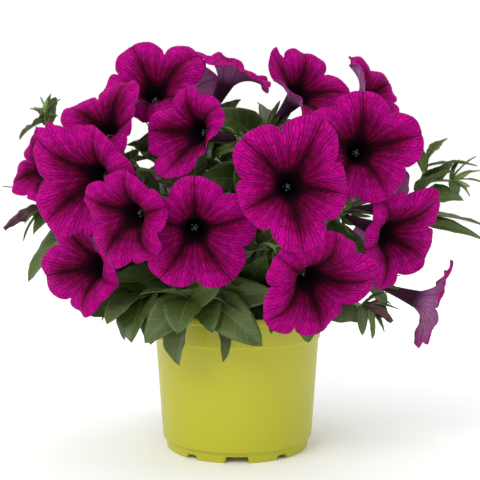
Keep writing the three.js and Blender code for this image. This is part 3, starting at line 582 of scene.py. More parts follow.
# Where stems run and leaves grow, by the source's rule
def stem_curves(stem):
    root = np.array([stem["root"][0], stem["root"][1], SOIL_TOP - STEM_HOLE_DEPTH + SEAT_GAP], float)
    ends = [calyx_place(BLOOMS[index]) for index in stem["ends"]]
    top, face = ends[0]
    rise = np.clip(top[2] - root[2] - STEM_RISE_BELOW, *STEM_RISES)
    finish = top - face * (CALYX_LENGTH - 1)
    main = (root, root + UP * rise, top - face * END_PULL - UP * END_DROP, finish)
    curves = [main]
    for top, face in ends[1:]:
        start, direction = point_along(main, STEM_FORK)
        finish = top - face * (CALYX_LENGTH - 1)
        pull = np.linalg.norm(finish - start) * SIDE_PULL
        curves.append((start, start + direction * pull, top - face * (CALYX_LENGTH + pull * 0.8), finish))
    return curves


def grow_leaves(owner, curves, count, random):
    leaves = []
    for j in range(count):
        curve = curves[j % len(curves)]
        t = GROWN_FROM + (GROWN_SPAN * (j + 0.5 * random())) / count
        base, tangent = point_along(curve, t)
        outward = unit(np.array([base[0], base[1], 0.0]))
        flat = unit(np.cross(tangent, UP))
        size = GROWN_SIZE + GROWN_SPREAD * random()
        turn = 0.5 * (random() - 0.5)
        everything = everything_near(base)
        for attempt in range(GROWN_TRIES):
            angle = math.radians(GOLDEN_TURN * j + RETRY_TURN * attempt)
            scale = 1 - RETRY_SHRINK * (attempt // TRIES_OF_A_SIZE)
            way = unit(turned(flat, tangent, angle) * 0.9 + tangent * 0.4 + outward * 0.45)
            leaf = make_leaf(base, base + way * size * scale, size * scale * 0.5, GROWN_ARCH, turn)
            if leaf_fits(owner, leaf, everything, SOURCE_SAMPLES, GROWN_CLEARANCES):
                leaves += settle(owner, leaf, curve, t, SOURCE_SAMPLES)
                break
    return leaves


def shoot_leaves(shoot):
    leaves = []
    for on, tip, width, arch in shoot["leaves"]:
        t = on * LEAF_SEAT
        leaf = make_leaf(point_along(shoot["path"], t)[0], tip, width, arch, 0)
        leaves += settle(shoot["name"], leaf, shoot["path"], t, SOURCE_SAMPLES)
    return leaves


# Leaves of the scene alone: the same kind of rule with finer samples and closer distances
def facing_out(point, forward, rise):
    return unit(unit(np.array([point[0], point[1], 0.0])) + forward * FRONT + rise * UP)


def place_leaf(owner, curve, on, tip, width, arch, random):
    """A listed leaf, with its tip moved a little where it would touch something."""
    t = on * LEAF_SEAT
    base = point_along(curve, t)[0]
    everything = everything_near(base)
    beside_pot = math.hypot(tip[0], tip[1]) > RIM_RADIUS
    for attempt in range(PLACED_TRIES):
        jitter = np.array([random() - 0.5 for _ in range(3)]) * attempt
        narrower = width * (1 - 0.012 * attempt)
        leaf = make_leaf(base, tip + jitter, narrower, arch, 0, facing_out(tip, 0.8, 0.4))
        if leaf_fits(owner, leaf, everything, FINE_SAMPLES, PLACED_CLEARANCES, beside_pot):
            return settle(owner, leaf, curve, t, FINE_SAMPLES)
    return []


def fill_leaves(owner, curves, random):
    leaves = []
    for j in range(FILLING_LEAVES):
        curve = curves[j % len(curves)]
        t = FILLING_FROM + FILLING_SPAN * (j + random()) / FILLING_LEAVES
        base, tangent = point_along(curve, t)
        flat = unit(np.cross(tangent, UP + np.array([0.01, 0, 0])))
        facing = facing_out(base, 0.3, 0.8)
        everything = everything_near(base)
        for attempt in range(FILLING_TRIES):
            size = FILLING_SIZE[0] + (FILLING_SIZE[1] - FILLING_SIZE[0]) * random()
            size *= 1 - 0.4 * attempt / FILLING_TRIES
            way = turned(flat, tangent, 2 * math.pi * random())
            way = unit(way + tangent * (0.8 * random() - 0.1))
            width = size * (0.46 + 0.14 * random())
            leaf = make_leaf(base, base + way * size, width, 30 + 30 * random(), random() - 0.5, facing)
            if leaf_fits(owner, leaf, everything, FINE_SAMPLES, FILLING_CLEARANCES):
                leaves += settle(owner, leaf, curve, t, FINE_SAMPLES)
                break
    return leaves


# Meshes: points, faces with their surface coordinates, and materials by number
class Form:
    def __init__(self):
        self.points = []
        self.faces = []
        self.uvs = []
        self.slots = []
        self.count = 0

    def add_faces(self, faces, uvs, slot):
        self.faces.extend(map(tuple, faces))
        self.uvs.extend(map(tuple, np.asarray(uvs, float).reshape(-1, 2)))
        self.slots.extend([slot] * len(faces))

    def add_grid(self, points, u, v, slot, wrap=False, flip=False):
        """A sheet of quads. u and v have one column more than the points where the sheet wraps."""
        rows, columns = points.shape[:2]
        first = self.count
        self.points.append(points.reshape(-1, 3))
        self.count += rows * columns
        i, j = np.meshgrid(np.arange(rows - 1), np.arange(columns - (0 if wrap else 1)), indexing="ij")
        i, j = i.ravel(), j.ravel()
        k = (j + 1) % columns
        index = np.stack([i * columns + j, (i + 1) * columns + j, (i + 1) * columns + k, i * columns + k], 1)
        uv = np.stack([np.stack([w[i, j], w[i + 1, j], w[i + 1, j + 1], w[i, j + 1]], 1) for w in (u, v)], -1)
        if flip:
            index = index[:, ::-1]
            uv = uv[:, ::-1]
        self.add_faces((index + first).tolist(), uv, slot)
        return first

    def add_rings(self, points, slot, v=None, flip=False, ends=2):
        """Closed rings of points joined in a row, with the first ring or both end rings filled."""
        rows, sides = points.shape[:2]
        v = np.linspace(0, 1, rows) if v is None else v
        grid_u = np.broadcast_to(np.linspace(0, 1, sides + 1), (rows, sides + 1))
        grid_v = np.broadcast_to(v[:, None], (rows, sides + 1))
        first = self.add_grid(points, grid_u, grid_v, slot, wrap=True, flip=flip)
        for row, flipped in ((0, flip), (rows - 1, not flip))[:ends]:
            ring = tuple(range(first + row * sides, first + (row + 1) * sides))
            self.add_faces([ring[::-1] if flipped else ring], [[0.5, v[row]]] * sides, slot)
        return first

    def join_rows(self, above, below, ring, uvs, slot):
        """Joins two closed rows of points that lie a sheet's thickness apart."""
        pairs = zip(ring, ring[1:] + ring[:1])
        self.add_faces([(above + b, above + a, below + a, below + b) for a, b in pairs], uvs, slot)

    def build(self, name, materials, shade=True):
        mesh = bpy.data.meshes.new(name)
        mesh.from_pydata((np.concatenate(self.points) * MM).tolist(), [], self.faces)
        layer = mesh.uv_layers.new(name="surface")
        layer.data.foreach_set("uv", np.array(self.uvs, float).ravel())
        mesh.polygons.foreach_set("material_index", self.slots)
        mesh.polygons.foreach_set("use_smooth", [shade] * len(mesh.polygons))
        for material in materials:
            mesh.materials.append(material)
        mesh.update()
        piece = bpy.data.objects.new(name, mesh)
        bpy.context.scene.collection.objects.link(piece)
        return piece


def add_blob(form, centre, axes, sizes, slot, rings=6, sides=10):
    """A rounded closed body: an ellipsoid on the given axes."""
    theta = np.linspace(0.12, math.pi - 0.12, rings)[:, None]
    round_part = ring_points(np.sin(theta), angles_round(sides), np.cos(theta))
    form.add_rings((round_part * np.array(sizes)) @ np.stack(axes) + centre, slot)


def add_tube(form, line, radii, slot, sides=STEM_SIDES):
    """A round stem through the line's points, with closed ends."""
    line = np.asarray(line, float)
    tangents = np.gradient(line, axis=0)
    tangents /= np.linalg.norm(tangents, axis=1)[:, None]
    turn = angles_round(sides)[:, None]
    normal = unit(np.cross(tangents[0], np.array([1.0, 0.2, 0.1])))
    rings = []
    for point, tangent, radius in zip(line, tangents, radii):
        normal = unit(normal - tangent * np.dot(normal, tangent))
        around = np.cos(turn) * normal + np.sin(turn) * np.cross(tangent, normal)
        rings.append(point + np.reshape(radius, (-1, 1)) * around)
    form.add_rings(np.array(rings), slot, flip=True)


# Shader building
class Shader:
    def __init__(self, name, roughness, **uniform):
        self.material = bpy.data.materials.new(name)
        self.material.use_nodes = True
        self.tree = self.material.node_tree
        self.surface = next(n for n in self.tree.nodes if n.type == "BSDF_PRINCIPLED")
        self.surface.inputs["Roughness"].default_value = roughness
        for socket, value in uniform.items():
            self.surface.inputs[socket.replace("_", " ")].default_value = value

    def feed(self, socket, value):
        if isinstance(value, bpy.types.NodeSocket):
            self.tree.links.new(value, socket)
        else:
            socket.default_value = value

    def node(self, kind, inputs=(), output=0, **settings):
        node = self.tree.nodes.new(kind)
        for key, value in settings.items():
            setattr(node, key, value)
        for key, value in dict(inputs).items():
            self.feed(node.inputs[key], value)
        return node.outputs[output]

    def math(self, operation, a, b=0.0):
        return self.node("ShaderNodeMath", {0: a, 1: b}, operation=operation)

    def times(self, a, b):
        return self.math("MULTIPLY", a, b)

    def plus(self, a, b):
        return self.math("ADD", a, b)

    def minus(self, a, b):
        return self.math("SUBTRACT", a, b)

    def larger(self, a, b):
        return self.math("MAXIMUM", a, b)

    def away(self, value, centre):
        """How far the value is from the centre, on either side."""
        return self.math("ABSOLUTE", self.minus(value, centre))

    def mix(self, factor, a, b):
        a, b = (v + (1,) if isinstance(v, tuple) else v for v in (a, b))
        return self.node("ShaderNodeMix", {0: factor, 6: a, 7: b}, output=2, data_type="RGBA")

    def between(self, value, low, high, start=0.0, end=1.0):
        """Start where the value is low, end where it is high, and a soft change between."""
        inputs = {0: value, 1: low, 2: high, 3: start, 4: end}
        return self.node("ShaderNodeMapRange", inputs, interpolation_type="SMOOTHSTEP")

    def noise(self, vector, scale, detail):
        return self.node("ShaderNodeTexNoise", {"Vector": vector, "Scale": scale, "Detail": detail})

    def grain(self, scale, detail):
        """Noise that is fixed to the piece."""
        return self.noise(self.place(), scale, detail)

    def combine(self, x, y):
        return self.node("ShaderNodeCombineXYZ", {0: x, 1: y, 2: 0.0})

    def split(self, vector):
        parts = self.tree.nodes.new("ShaderNodeSeparateXYZ")
        self.feed(parts.inputs[0], vector)
        return parts.outputs

    def surface_uv(self):
        return self.split(self.node("ShaderNodeUVMap", uv_map="surface"))[:2]

    def place(self):
        return self.node("ShaderNodeTexCoord", output=3)

    def colour(self, value):
        self.feed(self.surface.inputs["Base Color"], value)

    def bump(self, height, distance, strength=1.0):
        bump = self.node("ShaderNodeBump", {"Strength": strength, "Distance": distance, "Height": height})
        self.feed(self.surface.inputs["Normal"], bump)


def srgb(red, green, blue):
    shares = (value / 255 for value in (red, green, blue))
    return tuple(c / 12.92 if c <= 0.04 else ((c + 0.055) / 1.055) ** 2.4 for c in shares)


# Petal veins: rays of each lobe with their start and width, then nets with their cells and strength
VEIN_RAYS = ((5, 0.0, 0.09), (10, 0.3, 0.13))
VEIN_NETS = ((15, 4.5, 0.16, 0.75), (31, 10.0, 0.2, 0.5))


def petal_veins(shader):
    """Dark veins of a lobe: a midrib, feathered side veins, rays that fork, and a fine net."""
    u, v = shader.surface_uv()
    phase = shader.times(u, LOBES)
    t = shader.math("FRACT", phase)
    across = shader.away(t, 0.5)
    wobble = shader.minus(shader.noise(shader.combine(phase, v), 5.0, 2.0), 0.5)
    bent = shader.plus(across, shader.times(wobble, 0.02))
    width = shader.between(v, 0.1, 1.0, 0.07, 0.015)
    main = shader.between(bent, 0.0, width, 1.0, 0.0)
    slant = shader.minus(shader.times(v, 8.0), shader.times(across, 13.0))
    slant = shader.plus(slant, shader.times(wobble, 1.6))
    feather = shader.between(shader.math("SINE", shader.times(slant, 2 * math.pi)), 0.55, 1.0)
    feather = shader.times(feather, shader.between(across, 0.1, 0.34, 1.0, 0.0))
    fan = shader.plus(phase, shader.times(wobble, 0.09))
    layers = []
    for count, start, thick in VEIN_RAYS:
        ray = shader.math("FRACT", shader.times(fan, count))
        ray = shader.away(ray, 0.5)
        ray = shader.between(ray, 0.0, shader.between(v, 0.1, 0.9, 2.6 * thick, thick), 1.0, 0.0)
        layers.append(shader.times(ray, shader.between(v, start, start + 0.15)))
    for around, outward, thick, share in VEIN_NETS:
        net = shader.combine(shader.times(fan, around), shader.times(v, outward))
        cell = shader.node("ShaderNodeTexVoronoi", {"Vector": net, "Scale": 1.0, "Randomness": 0.8},
                           feature="DISTANCE_TO_EDGE", voronoi_dimensions="2D")
        cell = shader.between(cell, 0.0, shader.between(v, 0.2, 0.9, 1.7 * thick, thick), 1.0, 0.0)
        layers.append(shader.times(cell, share))
    net = shader.times(feather, 0.6)
    for layer in layers:
        net = shader.larger(net, layer)
    net = shader.times(net, shader.between(v, 0.4, 1.0, 1.0, 0.75))
    squared = shader.math("POWER", shader.math("DIVIDE", across, 0.15), 2.0)
    midness = shader.math("EXPONENT", shader.times(squared, -1.0))
    return main, net, midness, phase, v


def petal_front_material():
    shader = Shader("petal_front", 0.8, Specular_IOR_Level=0.04)
    main, net, midness, phase, v = petal_veins(shader)
    cloud = shader.noise(shader.combine(phase, shader.times(v, 3.0)), 2.2, 3.0)
    drift = shader.minus(shader.grain(26.0, 1.0), 0.5)
    magenta = shader.mix(cloud, srgb(162, 0, 102), srgb(202, 8, 152))
    rim = shader.between(v, 0.975, 1.0)
    magenta = shader.mix(shader.times(rim, 0.45), magenta, srgb(150, 52, 104))
    reach = shader.minus(v, shader.times(midness, 0.32))
    reach = shader.plus(reach, shader.times(shader.minus(cloud, 0.5), 0.3))
    reach = shader.plus(reach, shader.times(drift, 0.4))
    wine = shader.mix(shader.between(reach, 0.0, 0.42), srgb(54, 0, 22), srgb(126, 0, 62))
    zone = shader.mix(shader.between(reach, 0.22, 0.8), wine, magenta)
    dark = shader.mix(shader.between(v, 0.05, 0.26), srgb(8, 2, 8), zone)
    veins = shader.larger(main, net)
    shader.colour(shader.mix(shader.times(veins, 0.92), dark, srgb(22, 0, 10)))
    grain = shader.grain(900.0, 2.0)
    relief = shader.minus(shader.times(grain, 0.2), shader.times(veins, 0.8))
    shader.bump(relief, 0.0004, 0.6)
    return shader.material


def petal_back_material():
    shader = Shader("petal_back", 0.8, Specular_IOR_Level=0.08)
    main, net, _, phase, v = petal_veins(shader)
    cloud = shader.noise(shader.combine(phase, v), 3.0, 3.0)
    mauve = shader.mix(cloud, srgb(166, 80, 152), srgb(212, 144, 202))
    edge = shader.mix(shader.between(v, 0.75, 1.0), mauve, srgb(184, 66, 156))
    tube = shader.mix(shader.between(v, -0.9, 0.0), srgb(66, 40, 54), srgb(52, 26, 48))
    base = shader.mix(shader.between(v, -0.15, 0.3), tube, edge)
    veins = shader.larger(main, shader.times(net, 0.8))
    shader.colour(shader.mix(shader.times(veins, 0.7), base, srgb(58, 14, 50)))
    shader.bump(veins, 0.0004, 0.5)
    return shader.material


def leaf_veins(shader, rib_foot, rib_tip, sharpness, strength):
    """A leaf's midrib and the side veins that curve to its tip, and the place along the leaf."""
    t, side = shader.surface_uv()
    across = shader.away(shader.times(side, 2.0), 1.0)
    rib = shader.between(across, 0.0, shader.between(t, 0.0, 1.0, rib_foot, rib_tip), 1.0, 0.0)
    slant = shader.minus(t, shader.times(across, 0.16))
    wave = shader.math("SINE", shader.times(slant, 2 * math.pi * SIDE_VEINS))
    return shader.larger(rib, shader.times(shader.between(wave, sharpness, 1.0), strength)), t


def leaf_material():
    shader = Shader("leaf", 0.42, Specular_IOR_Level=0.4)
    veins, t = leaf_veins(shader, 0.12, 0.03, 0.9, 0.45)
    cloud = shader.grain(70.0, 4.0)
    fresh = shader.mix(cloud, srgb(31, 47, 13), srgb(74, 93, 35))
    broad = shader.between(shader.grain(16.0, 1.0), 0.42, 0.62)
    tone = shader.mix(shader.times(broad, 0.5), fresh, srgb(88, 105, 46))
    tip = shader.mix(shader.between(t, 0.6, 1.0), tone, srgb(68, 88, 33))
    shader.colour(shader.mix(shader.times(veins, 0.5), tip, srgb(124, 142, 86)))
    fuzz = shader.grain(1500.0, 2.0)
    shader.bump(shader.minus(shader.times(fuzz, 0.25), veins), 0.0005, 0.6)
    return shader.material


def leaf_back_material():
    shader = Shader("leaf_back", 0.6, Specular_IOR_Level=0.25)
    veins, _ = leaf_veins(shader, 0.14, 0.04, 0.85, 0.5)
    pale = shader.mix(shader.grain(90.0, 4.0), srgb(78, 95, 45), srgb(106, 122, 68))
    shader.colour(shader.mix(shader.times(veins, 0.6), pale, srgb(162, 182, 122)))
    shader.bump(veins, 0.0005, 0.7)
    return shader.material


def stem_material():
    shader = Shader("stem", 0.55, Sheen_Weight=0.3, Sheen_Roughness=0.5)
    streak = shader.grain(160.0, 4.0)
    green = shader.mix(streak, srgb(84, 116, 44), srgb(124, 150, 72))
    blush = shader.between(shader.grain(35.0, 2.0), 0.5, 0.75)
    shader.colour(shader.mix(shader.times(blush, 0.4), green, srgb(104, 74, 66)))
    shader.bump(streak, 0.0004, 0.6)
    return shader.material


def cloudy_material(name, roughness, scale, detail, low, high, relief=None, strength=1.0):
    """One noise that shades the colour and raises the surface."""
    shader = Shader(name, roughness)
    cloud = shader.grain(scale, detail)
    shader.colour(shader.mix(cloud, low, high))
    if relief:
        shader.bump(cloud, relief, strength)
    return shader.material


def anther_material():
    return cloudy_material("anther", 0.7, 600.0, 2.0, srgb(30, 34, 46), srgb(72, 76, 90), 0.0002)


def wilted_material():
    return cloudy_material("wilted", 0.8, 260.0, 5.0, srgb(34, 18, 22), srgb(92, 54, 58), 0.0008, 0.8)


def soil_material():
    return cloudy_material("soil", 0.95, 220.0, 6.0, srgb(18, 13, 10), srgb(70, 52, 38), 0.0015, 0.9)


def inside_material():
    return cloudy_material("pot_inside", 0.6, 120.0, 3.0, srgb(32, 36, 44), srgb(52, 58, 68), 0.0002, 0.4)


def floor_material():
    return cloudy_material("studio_floor", 0.7, 3.0, 2.0, (0.93, 0.93, 0.93), (0.95, 0.95, 0.95))


def plastic_material():
    """Satin lime-green plastic with painted shade that darkens it towards the base, and faint moulding marks.
    """
    shader = Shader("pot_plastic", 0.42, Coat_Weight=0.08, Coat_Roughness=0.35)
    height = shader.split(shader.place())[2]
    # Painted shade: the lime is mixed darker towards the base, where less light falls
    lime_with_painted_base_shade = shader.mix(shader.between(height, 0.0, POT_HEIGHT * MM), srgb(172, 169, 16), srgb(183, 179, 26))
    cloud = shader.grain(28.0, 3.0)
    shader.colour(shader.mix(shader.times(cloud, 0.16), lime_with_painted_base_shade, srgb(160, 162, 12)))
    shader.bump(shader.grain(1400.0, 2.0), 0.00008, 0.5)
    return shader.material


def ride(piece, slot, *nodes):
    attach(piece, "root")
    if nodes:
        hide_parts(*nodes)


# Blooms: two sheets from the end of the tube to the petals' edge, joined at the rim
PETAL_FRONT, PETAL_BACK, ANTHER = 0, 1, 2


def build_bloom(index, bloom, materials):
    columns = LOBES * LOBE_STEPS
    u = np.linspace(0, 1, columns + 1)
    angles = math.radians(bloom["spin"]) + 2 * math.pi * (u[:-1] - 0.5 / LOBES)
    s = np.linspace(0, 1, PETAL_RINGS + 1) ** 0.9
    grid_s, grid_angle = np.meshgrid(s, angles, indexing="ij")
    front = petal_points(bloom, grid_s, grid_angle, 1.0)
    around = (np.roll(front, -1, axis=1) - np.roll(front, 1, axis=1)) / 2
    normal = np.cross(np.gradient(front, axis=0), around)
    normal /= np.linalg.norm(normal, axis=2)[..., None]
    back = front - normal * (PETAL_THICKNESS * (1 - 0.55 * smooth(0.7, 1, grid_s)))[..., None]
    depth = np.linspace(1, 0, TUBE_RINGS, endpoint=False)[:, None]

    def with_tube(sheet, end_radius, end):
        """The sheet with the rings of the tube before it, in place."""
        edge = np.hypot(sheet[0, :, 0], sheet[0, :, 1])
        radius = end_radius + (edge - end_radius) * (1 - depth) ** 1.5
        tube = ring_points(radius, angles, end * depth + sheet[0, :, 2] * (1 - depth))
        return np.concatenate([tube, sheet]) @ np.stack(bloom_axes(bloom)) + bloom["at"]

    v = np.concatenate([-depth[:, 0], s])
    form = Form()
    inside = with_tube(front, TUBE_END_RADIUS - TUBE_WALL, TUBE_FLOOR - TUBE_LENGTH)
    above = form.add_rings(inside, PETAL_FRONT, v, ends=1)
    below = form.add_rings(with_tube(back, TUBE_END_RADIUS, -TUBE_LENGTH), PETAL_BACK, v, flip=True, ends=1)
    last = (len(v) - 1) * columns
    rim_uv = [[[u[j + 1], 1], [u[j], 1], [u[j], 1], [u[j + 1], 1]] for j in range(columns)]
    form.join_rows(above, below, list(range(last, last + columns)), rim_uv, PETAL_FRONT)
    add_anthers(form, bloom, index)
    number = "%02d" % (index + 1)
    ride(form.build("petals_" + number, materials), "petal", "bloom_" + number)


def add_anthers(form, bloom, index):
    """Five anthers round a flat-topped stigma, just inside the throat."""
    axes = bloom_axes(bloom)
    right, top, face = axes
    at = np.array(bloom["at"], float)
    for i in range(LOBES):
        turn = math.radians(72 * i + 31 * index)
        outward = math.cos(turn) * right + math.sin(turn) * top
        radius = 1.8 + 0.4 * math.sin(5 * i + index)
        lift = -3.4 + 1.3 * math.sin(2.3 * i + index)
        spot = at + radius * outward + lift * face
        foot = at + outward - 12 * face
        add_blob(form, spot, axes, ANTHER_SIZES, ANTHER)
        add_tube(form, [foot, (foot + spot) / 2, spot], [0.25] * 3, ANTHER, sides=5)
    add_blob(form, at - 1.6 * face, axes, STIGMA_SIZES, ANTHER)
    add_tube(form, [at - 13 * face, at - 7 * face, at - 1.8 * face], [0.4, 0.4, 0.45], ANTHER, sides=6)


# Greens
GREEN_STEM, GREEN_LEAF, GREEN_BACK, GREEN_FADED = 0, 1, 2, 3


def add_leaf(form, leaf, rows=LEAF_ROWS, columns=LEAF_COLUMNS, thickness=LEAF_THICKNESS):
    t, across = np.meshgrid(np.linspace(0, 1, rows + 1), np.linspace(-1, 1, columns + 1), indexing="ij")
    points, normal = leaf_points(leaf, t, across, 1.0)
    points = points + leaf.get("shift", np.zeros(3)) * ((1 - t) ** 2)[..., None]
    half = normal * (thickness * (1 - 0.5 * across**2) / 2)[..., None]
    side = (across + 1) / 2
    above = form.add_grid(points + half, t, side, GREEN_LEAF)
    below = form.add_grid(points - half, t, side, GREEN_BACK, flip=True)
    width = columns + 1
    border = [i * width for i in range(rows + 1)]
    border += [rows * width + j for j in range(1, width)]
    border += [i * width + columns for i in range(rows - 1, -1, -1)]
    border += list(range(columns - 1, 0, -1))
    form.join_rows(above, below, border, [[(0.5, 0.0)] * 4] * len(border), GREEN_LEAF)


def add_stem(form, curve, low_radius, high_radius):
    line, length = spaced(curve, STEM_POINTS)
    share = np.linspace(0, 1, len(line))
    knots = 1 + STEM_KNOTS * np.sin(share * length / 6)
    add_tube(form, line, (low_radius + (high_radius - low_radius) * share) * knots, GREEN_STEM)


def add_calyx(form, bloom, index):
    """The cup below the tube and the five sepals that spread from its rim."""
    top, face = calyx_place(bloom)
    right, upward, _ = bloom_axes(bloom)
    depths, radii = np.array(CALYX_PROFILE).T
    add_tube(form, top - depths[:, None] * face, radii, GREEN_STEM, sides=12)
    for i in range(LOBES):
        turn = math.radians(72 * i + 20 * index)
        spread = math.radians(24 + 12 * math.sin(3 * i + index))
        outward = math.cos(turn) * right + math.sin(turn) * upward
        base = top + 2.5 * outward - 2.2 * face
        reach = CALYX_RADIUS + SEPAL_LENGTH * math.sin(spread)
        tip = top + reach * outward + SEPAL_LENGTH * math.cos(spread) * face
        sepal = make_leaf(base, tip, SEPAL_WIDTH, SEPAL_ARCH, 0, facing=outward)
        sepal["phase"] = i
        add_leaf(form, sepal, rows=8, columns=4, thickness=0.6)


def build_leafy(name, curves, end_radius, leaves, materials, ends=()):
    """A stem or shoot of the source: its curves, the calyces at their ends, and its leaves."""
    form = Form()
    for number, curve in enumerate(curves):
        add_stem(form, curve, SIDE_STEM_RADIUS if number else STEM_RADIUS, end_radius)
    for end in ends:
        add_calyx(form, BLOOMS[end], end)
    for leaf in leaves:
        add_leaf(form, leaf)
    ride(form.build("leafy_" + name, materials), "foliage", name)


def build_more_leaves(name, leaves, materials):
    form = Form()
    for leaf in leaves:
        add_leaf(form, leaf, rows=14, columns=8)
    ride(form.build("more_leaves_" + name, materials), "foliage")


def add_faded_flower(form, curve):
    """A limp corolla: a crumpled tube that swells a little and ends in a twisted tuft."""
    sides = 20
    line, _ = spaced(curve, 30)
    share = np.linspace(0, 1, len(line))[:, None]
    turn = angles_round(sides)
    swell = 1.2 + 2.2 * np.sin(math.pi * share**0.8) ** 1.5
    creases = 1 + 0.28 * np.sin(5 * turn + 6 * share) + 0.16 * np.sin(9 * turn - 14 * share)
    knots = 1 + 0.14 * np.sin(23 * share + 2 * turn)
    add_tube(form, line, swell * creases * knots, GREEN_FADED, sides=sides)


def add_bud(form, curve):
    line, _ = spaced(curve, 12)
    share = np.linspace(0, 1, len(line))
    add_tube(form, line, 0.5 + 1.7 * np.sin(math.pi * share**0.9) ** 0.8, GREEN_STEM, sides=10)


def build_twig(twig, curve, materials):
    form = Form()
    path = np.array([smooth_point_along(curve, twig["on"]), *twig["path"]])
    add_stem(form, path, 1.1, 0.9)
    for tip, width, arch in twig["leaves"]:
        leaf = make_leaf(path[-1], tip, width, arch, 0)
        add_leaf(form, leaf, rows=12, columns=4, thickness=0.6)
    for bud in twig.get("buds", ()):
        add_bud(form, bud)
    if "flower" in twig:
        add_faded_flower(form, twig["flower"])
    ride(form.build(twig["name"], materials), "foliage")


# Pot and soil
def rounded(profile, radius, steps=4):
    """The profile with each inner corner cut and rounded."""
    points = [np.array(p, float) for p in profile]
    result = [points[0]]
    for before, corner, after in zip(points, points[1:], points[2:]):
        reach = min(radius, np.linalg.norm(before - corner) / 2.2, np.linalg.norm(after - corner) / 2.2)
        start = corner + unit(before - corner) * reach
        end = corner + unit(after - corner) * reach
        for i in range(steps + 1):
            t = i / steps
            result.append(start * (1 - t) ** 2 + corner * 2 * t * (1 - t) + end * t * t)
    result.append(points[-1])
    return np.array(result)


def build_pot(materials):
    band_low = POT_HEIGHT - BAND_HEIGHT
    body_high = RIM_RADIUS - BAND_STEP
    floor_top = FLOOR_LIFT + WALL
    outline = [
        (0.4, 0),
        (PAD_RADIUS, 0),
        (PAD_RADIUS + 2, FLOOR_LIFT),
        (FOOT_RADIUS - 6, FLOOR_LIFT),
        (FOOT_RADIUS - 4, 0),
        (FOOT_RADIUS, 0),
        (FOOT_RADIUS + 0.6, FOOT_HEIGHT - 0.8),
        (BODY_RADIUS_LOW, FOOT_HEIGHT + 1.4),
        (body_high, band_low),
        (RIM_RADIUS, band_low + 1.2),
        (RIM_RADIUS, POT_HEIGHT - 4.6),
        (RIM_RADIUS + LIP, POT_HEIGHT - 4),
        (RIM_RADIUS + LIP, POT_HEIGHT),
        (RIM_RADIUS - WALL, POT_HEIGHT),
        (RIM_RADIUS - WALL, band_low + 1.5),
        (body_high - WALL, band_low - 1.5),
        (FOOT_RADIUS - 1, floor_top),
        (0.4, floor_top),
    ]
    form = Form()
    profile = rounded(outline, 0.7)
    rings = ring_points(profile[:, :1], angles_round(POT_SIDES), profile[:, 1:])
    lengths = lengths_along(profile)
    form.add_rings(rings, 0, lengths / lengths[-1], flip=True)
    pot = form.build("moulded_pot", materials)
    cut_openings(pot)
    for polygon in pot.data.polygons:
        centre = polygon.center / MM
        radius = math.hypot(centre.x, centre.y)
        inward = centre.x * polygon.normal.x + centre.y * polygon.normal.y < 0
        wall = inward and centre.z > floor_top and radius > PAD_RADIUS
        floor = centre.z > floor_top - 0.1 and polygon.normal.z > 0.9 and radius < FOOT_RADIUS
        if wall or floor:
            polygon.material_index = 1
    ride(pot, "pot_plastic", "pot")


def cut_openings(pot):
    """Notches in the foot ring, a wide one at the front and back, and drain holes in the floor."""
    form = Form()
    flare = 1.6
    for i in range(DRAIN_HOLES):
        turn = 2 * math.pi * (i + 0.5) / DRAIN_HOLES
        middle = ring_points(DRAIN_CIRCLE, turn, 0)
        add_tube(form, [middle - UP, middle + UP * 3, middle + UP * 7], [DRAIN_RADIUS] * 3, 0, sides=24)
    for angle, width, height in FOOT_NOTCHES:
        turn = math.radians(angle)
        outward = np.array([math.cos(turn), math.sin(turn), 0])
        along = np.array([-math.sin(turn), math.cos(turn), 0])
        half = width / 2
        outline = [(-half - flare, -1), (half + flare, -1), (half, height), (-half, height)]
        rings = [[outward * radius + along * x + UP * z for x, z in outline]
                 for radius in (FOOT_RADIUS - 8, FOOT_RADIUS + 4)]
        form.add_rings(np.array(rings), 0)
    cutter = form.build("cutter", [], shade=False)
    face_outward(cutter)
    face_outward(pot)
    cut = pot.modifiers.new("notches", "BOOLEAN")
    cut.operation = "DIFFERENCE"
    cut.object = cutter
    evaluated = pot.evaluated_get(bpy.context.evaluated_depsgraph_get())
    mesh = bpy.data.meshes.new_from_object(evaluated)
    pot.modifiers.clear()
    pot.data = mesh
    bpy.data.objects.remove(cutter, do_unlink=True)


def face_outward(piece):
    shape = bmesh.new()
    shape.from_mesh(piece.data)
    bmesh.ops.recalc_face_normals(shape, faces=shape.faces)
    shape.to_mesh(piece.data)
    shape.free()


